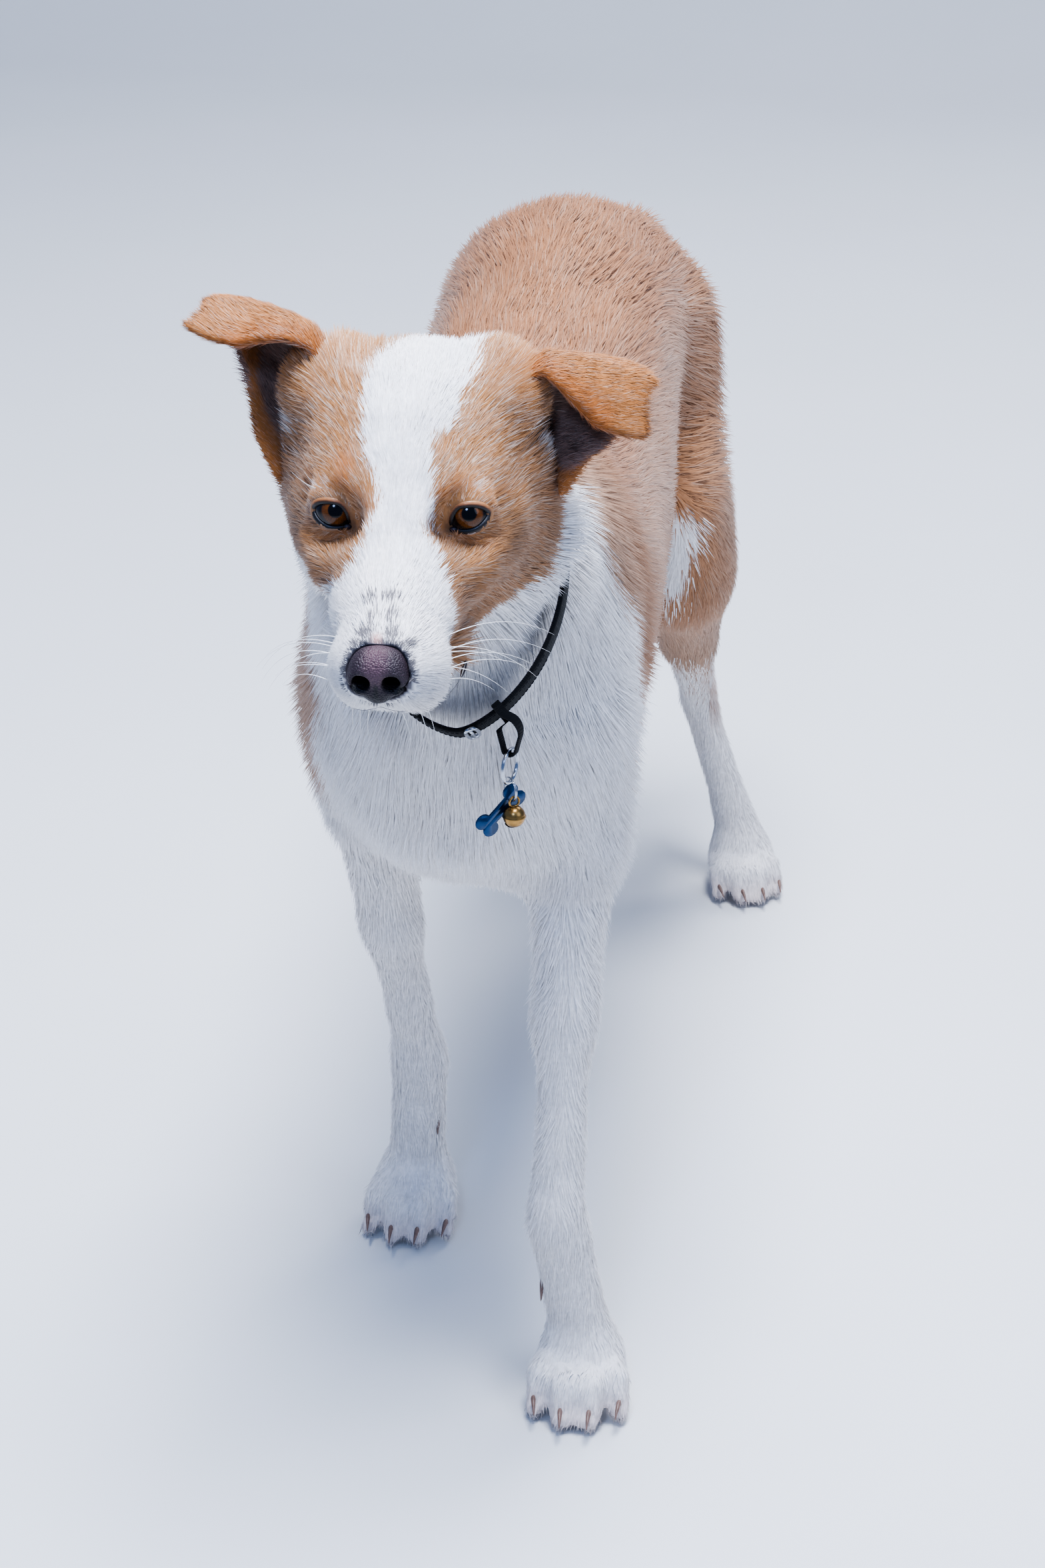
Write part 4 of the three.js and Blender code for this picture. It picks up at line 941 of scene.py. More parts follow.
def tuft_arrays(root, normal, way, length, width, lift, sink=0.35):
    """Closed tufts, straight three-sided locks: their points, four to a tuft, and their shading normals."""
    across = np.cross(normal, way)
    rise, level = np.sin(lift)[:, None], np.cos(lift)[:, None]
    up, ahead = normal * level - way * rise, way * level + normal * rise
    half, thick = width[:, None] / 2, width[:, None] * 0.32
    start = root - normal * sink
    tip = root + ahead * length[:, None]
    points = (start + across * half, start - across * half, start + up * thick, tip)
    shade = [unit(normal + across * 0.42 * lean + way * 0.1) for lean in (1, -1, 0, 0)]
    return np.stack(points, 1), np.stack(shade, 1)


def scatter(points, triangles, weights, count, rng):
    """Random places on triangles: the triangle of each and its weights on the corners."""
    corner = points[triangles]
    area = np.linalg.norm(np.cross(corner[:, 1] - corner[:, 0], corner[:, 2] - corner[:, 0]), axis=1)
    total = np.cumsum(area * weights)
    if total[-1] <= 0:
        raise RuntimeError("no skin to carry this part of the coat")
    place = (np.arange(count) + rng.random(count)) / count * total[-1]
    pick = np.minimum(np.searchsorted(total, place), len(triangles) - 1)
    u, v = rng.random(count), rng.random(count)
    flip = u + v > 1
    u, v = np.where(flip, 1 - u, u), np.where(flip, 1 - v, v)
    return pick, np.stack([1 - u - v, u, v], -1)


def wrap_places(points, axis_from, axis_to):
    """Where points lie on an unrolled tube round an axis: the turn round it and the way along, 0 to 1."""
    axis = unit(np.array(axis_to, float) - axis_from)
    side = unit(np.cross(axis, (0.31, 0.22, 0.93)))
    q = points - np.array(axis_from, float)
    turn = np.arctan2(q @ np.cross(axis, side), q @ side) / (2 * np.pi) + 0.5
    run = q @ axis
    return np.stack([turn, (run - run.min()) / max(np.ptp(run), 1e-6)], -1)


WRAP_AXES = {
    "face": ((0, -420, 500), (0, -250, 560)), "crown": ((0, -300, 470), (0, -240, 620)),
    "ear": ((0, -260, 560), (100, -250, 590)), "neck": ((0, -250, 380), (0, -180, 560)),
    "breast": ((0, -160, 280), (0, -180, 420)), "trunk": ((0, -200, 400), (0, 450, 410)),
    "forelegs": ((5, -170, 0), (5, -170, 300)), "hindlegs": ((0, 380, 0), (0, 320, 300)),
    "feet": ((0, 100, 0), (0, 101, 200)), "tail": ((6, 450, 420), (0, 490, 180)),
}


def skin_data():
    """The skin's points, triangles, normals and what is kept at its points."""
    skin = bpy.data.objects.get("skin")
    if skin is None:
        raise RuntimeError("make the skin first")
    mesh = skin.data
    kept = {name: read(mesh.attributes[name].data, "value", 1)[:, 0].astype(float)
            for name in ("hair", "region", "head_depth", "bare", "short")}
    return {
        **kept, "region": kept["region"].round().astype(int), "points": dog_points(mesh),
        "triangles": triangles_of(mesh), "normals": read(mesh.vertices, "normal").astype(float),
        "flow": read(mesh.attributes["flow"].data, "vector").astype(float),
    }


def grow(settings, look, region, thousands, wide, lift, clump, stray):
    """One piece of the coat: its tufts on a region of the skin."""
    name, count = f"coat_{region}", int(thousands * 1000 * settings.coat_share)
    rng = np.random.default_rng(SEED + sum(map(ord, name)))
    data = skin_data()
    tri = data["triangles"]
    weights = (data["region"][tri[:, 0]] == REGIONS.index(region)) * (1 - data["bare"][tri].max(axis=1))
    shown = data["hair"][tri].mean(axis=1) * data["short"][tri].mean(axis=1)
    pick, share = scatter(data["points"], tri, weights / np.maximum(shown, 2.0) ** 1.2, count, rng)

    def at(field):
        corners = data[field][tri[pick]]
        return (corners * share.reshape(*share.shape, *[1] * (corners.ndim - 2))).sum(1)

    root, normal, way = at("points"), unit(at("normals")), at("flow")
    length = at("hair") * at("short") * rng.uniform(0.72, 1.12, count)
    noise = Noise(SEED + 5)
    drift = noise(root, clump)
    way = way + 0.30 * drift + stray * rng.normal(size=(count, 3)) + 0.12 * noise(root, clump / 3)
    way = laid(way, normal)
    angle = mix(lift[0], lift[1], rng.random(count)) * (1 + 0.25 * drift[:, 1])
    width = np.maximum(length * wide, 0.55) * rng.uniform(0.75, 1.25, count)
    points, shade = tuft_arrays(root, normal, way, length, width, angle)
    colours = coat_colours(root, normal, at("head_depth"), np.full(count, region.startswith("ear")),
                           Palette(settings), rng.random((count, 3)))
    every = (np.arange(count)[:, None, None] * len(TUFT_SHADE_TONES) + TUFT_FACES).reshape(-1, 3)
    remove_piece(name)
    piece = new_piece(name, points.reshape(-1, 3), every)
    mesh = piece.data
    # Each tuft's colour times its painted shade, darker at the root than at the tip.
    paint(mesh, np.clip((colours[:, None] * TUFT_SHADE_TONES[:, None]).reshape(-1, 3), 0, 0.97))
    corners = shade[:, TUFT_FACES]
    corners[:, -1] = unit(way * 0.9 + normal * 0.35)[:, None]
    mesh.normals_split_custom_set(corners.reshape(-1, 3))
    key = region.split("_")[0]
    place = wrap_places(root, *WRAP_AXES[key]) * 0.99
    uv = (place[:, None] + TUFT_PATCH).reshape(-1, 2)[every.ravel()]
    layer = mesh.uv_layers.new(name="OFBake")
    layer.data.foreach_set("uv", uv.astype(np.float32).ravel())
    mesh.materials.append(look)


# Materials.


def add(tree, kind, inputs=(), **settings):
    """A node of a kind with its settings, and its inputs as values or as sockets to link from."""
    new = tree.nodes.new(kind)
    for key, value in settings.items():
        setattr(new, key, value)
    for key, value in dict(inputs).items():
        if isinstance(value, bpy.types.NodeSocket):
            tree.links.new(value, new.inputs[key])
        else:
            new.inputs[key].default_value = value
    return new


def rgba(colour):
    return (*[float(v) for v in (linear(colour) if isinstance(colour, str) else colour)[:3]], 1.0)


def material(name, **values):
    """An empty principled material with constants on its shader."""
    look = bpy.data.materials.new(name)
    look.use_nodes = True
    shader = look.node_tree.nodes["Principled BSDF"]
    for key, value in values.items():
        shader.inputs[key.replace("_", " ")].default_value = value
    return look, look.node_tree, shader


def heading(degrees):
    """The level direction so many degrees round from X."""
    return np.array([math.cos(math.radians(degrees)), math.sin(math.radians(degrees)), 0])


def ring_faces(rings, sides, closed=False, first=0):
    """Quads between rings of points in a row; closed joins the last ring to the first."""
    return [(first + i * sides + k, first + i * sides + (k + 1) % sides,
             first + (i + 1) % rings * sides + (k + 1) % sides, first + (i + 1) % rings * sides + k)
            for i in range(rings if closed else rings - 1) for k in range(sides)]


def capped_faces(rings, sides):
    """The quads of an open row of rings, and the faces that close its ends."""
    return [*ring_faces(rings, sides), tuple(range(sides))[::-1],
            tuple((rings - 1) * sides + k for k in range(sides))]


def poled_faces(rings, sides):
    """The faces of rings of points between a first and a last single point."""
    last = 1 + rings * sides
    return [*((0, 1 + (k + 1) % sides, 1 + k) for k in range(sides)), *ring_faces(rings, sides, first=1),
            *((last - sides + k, last - sides + (k + 1) % sides, last) for k in range(sides))]


def blotched(tree, vector, low, high, scale, detail=3.0):
    """A colour that wanders between two with noise of the given scale."""
    noise = add(tree, "ShaderNodeTexNoise", {"Vector": vector, "Scale": scale, "Detail": detail})
    return add(tree, "ShaderNodeMix", {"Factor": noise.outputs["Fac"], "A": rgba(low), "B": rgba(high)},
               data_type="RGBA")


def mix_output(node):
    return next(s for s in node.outputs if s.type == "RGBA")


def kept_colour(tree, shader, place, scale, detail, low, high):
    """Gives the shader the colour kept at the mesh's points, scaled between low and high by noise."""
    kept = add(tree, "ShaderNodeAttribute", attribute_name="coat")
    noise = add(tree, "ShaderNodeTexNoise", {
        "Vector": place.outputs["Object"], "Scale": scale, "Detail": detail})
    span = add(tree, "ShaderNodeMapRange", {
        "Value": noise.outputs["Fac"], "From Min": 0.3, "From Max": 0.7, "To Min": low, "To Max": high})
    scaled = add(tree, "ShaderNodeVectorMath", {
        0: kept.outputs["Color"], "Scale": span.outputs["Result"]}, operation="SCALE")
    tree.links.new(scaled.outputs["Vector"], shader.inputs["Base Color"])


def coat_look(name, strength=0.0):
    """Hair: its colour is kept at the points of the mesh and wanders a little from hair to hair."""
    look, tree, shader = material(name, Roughness=0.62, Specular_IOR_Level=0.28, Sheen_Weight=0.12)
    place = add(tree, "ShaderNodeTexCoord")
    kept_colour(tree, shader, place, 420.0, 2.0, 0.90, 1.07)
    if strength:
        stretched = add(tree, "ShaderNodeMapping", {
            "Vector": place.outputs["Object"], "Scale": (1 / 0.0011, 1 / 0.006, 1 / 0.006)})
        hair = add(tree, "ShaderNodeTexNoise", {
            "Vector": stretched.outputs["Vector"], "Scale": 1.0, "Detail": 4.0})
        bump = add(tree, "ShaderNodeBump", {
            "Height": hair.outputs["Fac"], "Strength": strength, "Distance": 0.0006})
        tree.links.new(bump.outputs["Normal"], shader.inputs["Normal"])
    return look


def eye_look(settings):
    """A wet eye: pupil, fibrous iris, dark limbus and the white, painted almost black as painted shade
    under the lids, by the way from the middle of the iris.
    """
    look, tree, shader = material("wet eye", Roughness=0.12, Specular_IOR_Level=0.12, Coat_Weight=0.4,
                                  Coat_Roughness=0.02)
    ring = add(tree, "ShaderNodeAttribute", attribute_name="iris")
    spokes = add(tree, "ShaderNodeAttribute", attribute_name="spokes")
    fibres = add(tree, "ShaderNodeTexNoise", {
        "Vector": spokes.outputs["Vector"], "Scale": 4.5, "Detail": 4.0})
    out = mix_output(add(tree, "ShaderNodeMix", {
        "Factor": fibres.outputs["Fac"], "A": rgba("#2a1305"), "B": rgba(settings.iris)},
        data_type="RGBA"))
    # The last band is the white, near black: painted shade where the lids shadow it.
    for low, high, inner, outer in ((0.40, 0.50, "#020101", None), (0.80, 1.0, None, "#0a0504"),
                                    (1.04, 1.25, None, "#17161b")):
        edge = add(tree, "ShaderNodeMapRange", {
            "Value": ring.outputs["Fac"], "From Min": low, "From Max": high},
            interpolation_type="SMOOTHSTEP")
        out = mix_output(add(tree, "ShaderNodeMix", {
            "Factor": edge.outputs["Result"], "A": rgba(inner) if inner else out,
            "B": rgba(outer) if outer else out}, data_type="RGBA"))
    tree.links.new(out, shader.inputs["Base Color"])
    return look


def painted_look(name, roughness, wet=0.0, pebble=0.0):
    """Bare skin, leather or whisker, its colour kept at its points; pebbles are a millimetre across."""
    look, tree, shader = material(name, Roughness=roughness, Specular_IOR_Level=0.35, Coat_Weight=wet,
                                  Coat_Roughness=0.12)
    place = add(tree, "ShaderNodeTexCoord")
    kept_colour(tree, shader, place, 900.0, 3.0, 0.85, 1.12)
    if pebble:
        cells = add(tree, "ShaderNodeTexVoronoi", {"Vector": place.outputs["Object"], "Scale": 1 / MM})
        bump = add(tree, "ShaderNodeBump", {
            "Height": cells.outputs["Distance"], "Strength": pebble, "Distance": 0.0005}, invert=True)
        tree.links.new(bump.outputs["Normal"], shader.inputs["Normal"])
    return look


def webbing_look(name, colour, thread):
    """Woven nylon webbing: ribs across the strap at the pitch of its yarn, along the strap's own UV."""
    look, tree, shader = material(name, Roughness=0.8, Specular_IOR_Level=0.25)
    uv = add(tree, "ShaderNodeUVMap", uv_map="OFBake")
    place = add(tree, "ShaderNodeTexCoord")
    run = add(tree, "ShaderNodeMapping", {"Vector": uv.outputs["UV"], "Scale": (420.0, 15.0, 1.0)})
    ribs = add(tree, "ShaderNodeTexWave", {
        "Vector": run.outputs["Vector"], "Scale": 0.31, "Distortion": 0.5})
    tone = blotched(tree, place.outputs["Object"], colour, thread, 700.0)
    tree.links.new(mix_output(tone), shader.inputs["Base Color"])
    bump = add(tree, "ShaderNodeBump", {
        "Height": ribs.outputs["Fac"], "Strength": 0.5, "Distance": 0.0004})
    tree.links.new(bump.outputs["Normal"], shader.inputs["Normal"])
    return look


def blotchy_look(name, colour, speck, scale, roughness, metallic=0.0):
    """A surface whose colour wanders to that of its specks, in blotches that shrink with the scale."""
    look, tree, shader = material(name, Roughness=roughness, Metallic=metallic)
    place = add(tree, "ShaderNodeTexCoord")
    tone = blotched(tree, place.outputs["Object"], colour, speck, scale)
    tree.links.new(mix_output(tone), shader.inputs["Base Color"])
    return look


# Small shapes.


def tube(line, radii, sides=6, closed=False):
    """Points and faces of a tube along a line; an open one is closed at its ends."""
    line = np.asarray(line, float)
    n = len(line)
    radii = np.broadcast_to(radii, n)
    ahead = np.roll(line, -1, 0) - np.roll(line, 1, 0)
    if not closed:
        ahead[0], ahead[-1] = line[1] - line[0], line[-1] - line[-2]
    ahead = unit(ahead)
    side = unit(np.cross(ahead[0], (0.2, 0.3, 0.93)))
    turn = np.arange(sides)[:, None] / sides * 2 * np.pi
    rings = []
    for i in range(n):
        side = unit(side - ahead[i] * (side @ ahead[i]))
        rings.append(line[i] + radii[i] * (np.cos(turn) * side + np.sin(turn) * np.cross(ahead[i], side)))
    return np.concatenate(rings), ring_faces(n, sides, True) if closed else capped_faces(n, sides)


def ring_line(centre, radius, turn, steps=40):
    """A circle in an upright plane that runs along a heading in degrees."""
    a = np.arange(steps)[:, None] / steps * 2 * np.pi
    return centre + radius * (np.cos(a) * heading(turn) + np.sin(a) * np.array([0, 0, 1]))


def merged(parts):
    points, faces, count = [], [], 0
    for p, f in parts:
        points.append(np.asarray(p, float))
        faces += [tuple(v + count for v in face) for face in f]
        count += len(p)
    return np.concatenate(points), faces


def lathe(profile, steps):
    """A closed solid of revolution about Z from (radius, height) pairs that start and end on the axis."""
    inner = profile[1:-1]
    points = [(0, 0, profile[0][1])]
    for r, z in inner:
        points += [(r * math.cos(a), r * math.sin(a), z) for a in np.arange(steps) / steps * 2 * np.pi]
    points.append((0, 0, profile[-1][1]))
    return np.array(points, float), poled_faces(len(inner), steps)


def field_mesh(field, low, high, cell):
    """The zero surface of a field of the head's frame in a box, as points of that frame and quads."""
    axes = [np.arange(l, h + cell, cell) for l, h in zip(low, high)]
    p = np.stack(np.meshgrid(*axes, indexing="ij"), -1).reshape(-1, 3)
    values = field(p).reshape([len(a) for a in axes]).astype(np.float32)
    far = 6.0
    grid = vdb.FloatGrid(far)
    grid.copyFromArray(np.clip(values, -far, far), ijk=(0, 0, 0), tolerance=0.0)
    points, quads = grid.convertToQuads(isovalue=0)
    return np.asarray(points, float) * cell + np.array(low), np.asarray(quads).astype(np.int32)


# Pieces.


def make_skin(settings):
    field, onto = skin_field(settings.skin_cell / MM)
    points, quads = surface_of(ear_field(field, onto), onto)
    remove_piece("skin")
    skin = new_piece("skin", points, quads)
    mesh = skin.data
    outward(skin, only_largest=True)
    points, normals = dog_points(mesh), read(mesh.vertices, "normal").astype(float)
    q = to_head(points)
    head_depth = head_field(q)
    from_ear = near_ears(points)
    ear_near = (from_ear < 3.2) & (head_depth > -2.5)
    flow = coat_flow(points, normals)
    inner, ear_way = ear_places(q, normals)
    ear_way = ear_way @ HEAD_TURN.T
    blend_in = ramp(6.0, 1.5, from_ear)[:, None] * ramp(-6, 2, head_depth)[:, None]
    flow = mix(flow, ear_way, blend_in)
    flow = laid(flow, normals)
    length = coat_length(points, head_depth)
    length = mix(length, mix(6.5, 8.0, inner), blend_in[:, 0])

    fringe = near_points(np.abs(q) * (1, 1, 0) + q * (0, 0, 1), EAR_FRINGE, [15, 15, 14])[:, 0] * ~ear_near
    length = mix(length, 20.0, fringe)
    across_ear = np.array((0.8, 0.0, 0.5)) * np.where(q[:, :1] > 0, 1, -1) * (1, 0, 0) + (0, 0, 0.5)
    flow = mix(flow, across_ear @ HEAD_TURN.T, 0.6 * fringe[:, None])
    flow = laid(flow, normals)

    bare = np.zeros(len(points))
    short = np.ones(len(points))
    for sign in SIDES.values():
        here = by_eye(q, sign, 30)
        across = rim_distance(q[here], sign)
        bare[here] = np.maximum(bare[here], across < 1.5)
        near = ramp(8, 1.8, across)
        short[here] = np.minimum(short[here], mix(1, 0.27, ramp(15, 1.8, across)))
        away = unit(q[here] - EYE_AT * (sign, 1, 1)) @ HEAD_TURN.T
        flow[here] = laid(mix(flow[here], away, 0.65 * near[:, None]), normals[here])
    tip = ((q - NOSE_AT) ** 2).sum(-1) < 34 ** 2
    seat = np.where(tip, nose_field(q), 34.0)
    bare = np.maximum(bare, tip & (seat < np.where(q[:, 2] < NOSE_AT[2] - 3, 1.8, 0.3)))
    short = np.minimum(short, np.where(tip, mix(0.28, 1, ramp(0.5, 12, seat)), 1))
    gap, along = collar_place(points)
    band = (np.abs(along) < COLLAR_WIDTH / 2 + 1) & (gap > -9) & (gap < 12) & (head_depth > -4)
    bare = np.maximum(bare, band)
    frontal = 1.0 * ((along > 0) & (along < 44) & (gap > -20) & (gap < 14))
    room = np.clip((along - COLLAR_WIDTH / 2 - 1) / np.maximum(length, 1), 0.15, 1)
    short = np.minimum(short, mix(1, room, frontal))
    region = region_numbers(points, head_depth, ear_near)
    keep(mesh, "flow", "FLOAT_VECTOR", flow)
    for name, values in (("hair", length), ("region", region), ("head_depth", head_depth),
                         ("bare", bare), ("short", short)):
        keep(mesh, name, "FLOAT", values)
    even, palette = np.full((len(points), 3), 0.5), Palette(settings)
    colours = coat_colours(points, normals, head_depth, ear_near, palette, even)
    bare_skin = ramp(2.2, 0.6, np.where(tip, seat, 30))[:, None]
    # Painted shade: the skin under the coat is a little darker than the hair on it; soot where it is bare
    # by the nose.
    colours = mix(colours * 0.86, palette.soot * 0.8, bare_skin)
    lips = both_sides(q, lambda r: polyline(r, MOUTH))
    colours = mix(colours, palette.soot * 0.35, ramp(1.8, 0.8, lips)[:, None])
    paint(mesh, colours)
    mesh.materials.append(coat_look("short coat on skin", 0.5))
    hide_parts(*[name for name in FLESH if name != "collar"], *EARS)


def near_ears(points):
    """The distance of points from the ears, through a level set of them."""
    values, axes = node_grid(EARS, FINE_CELL, 6)
    place = [(points[:, a] - axes[a][0]) / FINE_CELL for a in range(3)]
    index = [np.clip(np.round(p).astype(int), 0, len(axis) - 1) for p, axis in zip(place, axes)]
    inside = np.all([(p > 0) & (p < len(axis) - 1) for p, axis in zip(place, axes)], axis=0)
    return np.where(inside, values[tuple(index)], 6 * FINE_CELL)


def keep_largest(body):
    """Deletes every island of a mesh but the largest."""
    body.verts.ensure_lookup_table()
    island = np.full(len(body.verts), -1)
    sizes = []
    for start in body.verts:
        if island[start.index] >= 0:
            continue
        island[start.index] = len(sizes)
        waiting, size = [start], 0
        while waiting:
            vert = waiting.pop()
            size += 1
            for edge in vert.link_edges:
                other = edge.other_vert(vert)
                if island[other.index] < 0:
                    island[other.index] = len(sizes)
                    waiting.append(other)
        sizes.append(size)
    stray = [v for v in body.verts if island[v.index] != int(np.argmax(sizes))]
    bmesh.ops.delete(body, geom=stray, context="VERTS")


COAT = [
    # region, thousands of tufts, width to length, lift, clump, stray
    ("face_left", 37, 0.10, (0.22, 0.40), 9.0, 0.13),
    ("face_right", 34, 0.10, (0.22, 0.40), 9.0, 0.13),
    ("crown_left", 24, 0.07, (0.22, 0.40), 14.0, 0.14),
    ("crown_right", 24, 0.07, (0.22, 0.40), 14.0, 0.14),
    ("ear_left", 20, 0.075, (0.07, 0.22), 12.0, 0.12),
    ("ear_right", 19, 0.075, (0.07, 0.22), 12.0, 0.12),
    ("neck_left", 39, 0.042, (0.16, 0.32), 26.0, 0.09),
    ("neck_right", 33, 0.042, (0.22, 0.42), 24.0, 0.10),
    ("breast", 30, 0.042, (0.30, 0.50), 24.0, 0.12),
    ("trunk_front", 31, 0.060, (0.20, 0.34), 34.0, 0.10),
    ("trunk_rear", 25, 0.060, (0.20, 0.34), 34.0, 0.10),
    ("forelegs", 20, 0.10, (0.14, 0.28), 14.0, 0.12),
    ("hindlegs", 24, 0.09, (0.14, 0.28), 16.0, 0.12),
    ("feet", 9, 0.15, (0.12, 0.26), 9.0, 0.12),
    ("tail", 8, 0.045, (0.28, 0.46), 18.0, 0.14),
]


def make_coat(settings, *parts):
    """The pieces of the coat whose regions begin with one of the given words."""
    hair = bpy.data.materials.get("hair") or coat_look("hair")
    for region, *row in COAT:
        if region.startswith(parts):
            grow(settings, hair, region, *row)


def make_eye(settings, side):
    """The eyeball, turned to the gaze, with the bulge of its cornea."""
    sign = SIDES[side]
    centre = EYE_AT * (sign, 1, 1)
    gaze = unit(GAZE)
    level = unit(np.cross(gaze, (0, 0, 1)))
    up = np.cross(level, gaze)
    steps, rings = 64, 48
    limbus = math.asin(settings.iris_radius / MM / EYE_RADIUS)
    points, ring, spokes = [centre + gaze * (EYE_RADIUS + 0.75)], [0.0], [(0.0, 0.0, 0.0)]
    angles = np.concatenate([np.linspace(0, limbus * 1.3, rings // 2)[1:],
                             np.linspace(limbus * 1.3, np.pi, rings // 2 + 1)[1:-1]])
    for a in angles:
        bulge = 0.75 * (1 - ramp(0.35 * limbus, 1.15 * limbus, a))
        for k in range(steps):
            b = k / steps * 2 * np.pi
            spoke = math.cos(b) * level + math.sin(b) * up
            points.append(centre + (gaze * math.cos(a) + spoke * math.sin(a)) * (EYE_RADIUS + bulge))
            ring.append(a / limbus)
            spokes.append((math.cos(b) * 3, math.sin(b) * 3, a / limbus * 0.7))
    points.append(centre - gaze * EYE_RADIUS)
    ring.append(4.0)
    spokes.append((0.0, 0.0, 3.0))
    piece = new_piece(f"eye_{side}_wet", from_head(points), poled_faces(len(angles), steps))
    outward(piece)
    keep(piece.data, "iris", "FLOAT", ring)
    keep(piece.data, "spokes", "FLOAT_VECTOR", spokes)
    piece.data.materials.append(eye_look(settings))
    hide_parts(f"eye_{side}")


def outward(piece, only_largest=False):
    """Turns a piece's faces outward, after leaving only its largest island if asked."""
    body = bmesh.new()
    body.from_mesh(piece.data)
    if only_largest:
        keep_largest(body)
    bmesh.ops.recalc_face_normals(body, faces=body.faces)
    body.to_mesh(piece.data)
    body.free()
    piece.data.shade_smooth()


def make_lids(side):
    """The lids' margins: a wet inner edge with a painted bluish reflection below the eye, a black rim and
    outside it bare skin, tan above the eye.
    """
    sign = SIDES[side]
    centre, _, across, up = eye_frame(sign)
    curve = lid_curve(sign, 8)
    run = unit(np.roll(curve, -1, 0) - np.roll(curve, 1, 0))
    away = np.cross(run, curve)
    if ((away * (curve - curve.mean(0))).sum(-1)).mean() < 0:
        away = -away
    height = (curve * EYE_RADIUS) @ up
    upper = ramp(-1.0, 3.0, height - np.interp((curve @ across), [-0.7, 0.7], [-3.0, 1.0]))[:, None]
    # Row by row: place across the lid from the edge of the opening, radius from the eye's centre, colour.
    # The second row below is bluish grey: a painted reflection on the wet lower lid.
    below = [(-0.35, 10.2, "#0d0b0b"), (-0.3, 10.85, "#262830"), (0.0, 11.35, "#100d0e"),
             (0.5, 11.75, "#120d0c"), (1.1, 11.95, "#33251e"), (1.9, 12.1, "#5a4334"),
             (3.0, 11.9, "#775a45"), (4.0, 11.0, "#775a45"), (3.0, 10.0, "#5a4334")]
    above = [(-0.45, 10.2, "#120d0d"), (-0.5, 11.0, "#0c0909"), (-0.2, 11.75, "#0b0808"),
             (0.4, 12.2, "#3a2519"), (1.1, 12.45, "#96603a"), (1.9, 12.6, "#a8744a"),
             (3.2, 12.2, "#8a623f"), (4.0, 11.2, "#775a45"), (3.0, 10.0, "#5a4334")]
    points, tones = [], []
    for low, high in zip(below, above):
        shift, radius = mix(low[0], high[0], upper), mix(low[1], high[1], upper)
        points.append(centre + unit(curve + away * shift / EYE_RADIUS) * radius)
        tones.append(mix(linear(low[2]), linear(high[2]), upper))
    bump = ellipsoid_mesh(centre + unit(LID_INNER * (sign, 1, 1)) * 11.0, (2.3, 1.5, 1.5), 14)
    rim = np.concatenate(points), ring_faces(len(points), len(curve), True)
    all_points, all_faces = merged([rim, bump])
    piece = new_piece(f"lids_{side}", from_head(all_points), all_faces)
    outward(piece)
    caruncle = np.tile(linear("#2b2128"), (len(bump[0]), 1))
    paint(piece.data, np.concatenate([np.concatenate(tones), caruncle]))
    piece.data.materials.append(painted_look("wet lid", 0.5, wet=0.12))


def ellipsoid_mesh(centre, radii, steps):
    half = np.linspace(-90, 90, steps // 2 + 1)[1:-1]
    profile = [(0, -1), *[(math.cos(math.radians(a)), math.sin(math.radians(a))) for a in half], (0, 1)]
    points, faces = lathe(profile, steps)
    return points * np.array(radii) + centre, faces


def make_nose():
    """The nose leather, with its nostrils and the groove down its middle; painted shade darkens them and
    its underside, and its middle is pinker with painted light on top.
    """
    low, high = NOSE_AT - (20, 18, 17), NOSE_AT + (20, 15, 16)
    points, quads = field_mesh(nose_field, low, high, 0.62)
    piece = new_piece("nose_leather", from_head(points), quads)
    outward(piece)
    q = to_head(dog_points(piece.data)) - NOSE_AT
    side = np.abs(q[:, 0])
    folded = np.stack([side, q[:, 1], q[:, 2]], -1)
    # Painted shade: near black in and round the nostrils and their slits.
    hole = polyline(folded, NOSTRIL)
    slit = polyline(folded, NOSTRIL_SLIT)
    dark = np.maximum(ramp(5.4, 3.6, hole), ramp(3.4, 1.9, slit))
    # A pinker middle, lighter on top: the leather's own tone and painted light on its top.
    middle = ramp(9, 1.5, side) * ramp(-6, 4, q[:, 2])
    base = mix(linear("#2b1f25"), linear("#553c43"), middle[:, None])
    # Painted shade: darker towards the bottom, on the underside.
    base = mix(base, linear("#150f12"), ramp(0, -9, q[:, 2])[:, None] * 0.85)
    # Painted shade down the groove at the bottom of the middle.
    split = ramp(1.5, 0.7, side) * ramp(1, -2, q[:, 2])
    dark = np.maximum(dark, 0.8 * split)
    base = mix(base, linear("#33272c"), ramp(-2, 6, q[:, 1])[:, None] * 0.6)
    paint(piece.data, mix(base, linear("#050304"), dark[:, None]))
    piece.data.materials.append(painted_look("nose leather", 0.52, pebble=1.0))
    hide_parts("nose")


def make_lips():
    """The dark edge of the lips, seen where the coat leaves it bare towards the corners of the mouth."""
    parts = []
    for sign in SIDES.values():
        line = catmull(np.array(MOUTH) * (sign, 1, 1), 8)
        grow_in = np.interp(np.linspace(0, 1, len(line)), [0, 0.80, 0.88, 1], [0.1, 0.1, 1.3, 0.7])
        parts.append(tube(line * (0.97, 1, 1) + (0, 1.2, 0.8), grow_in, 8))
    points, faces = merged(parts)
    piece = new_piece("lips", from_head(points), faces)
    outward(piece)
    paint(piece.data, linear("#1d1517"))
    piece.data.materials.append(painted_look("lip skin", 0.4, wet=0.3))


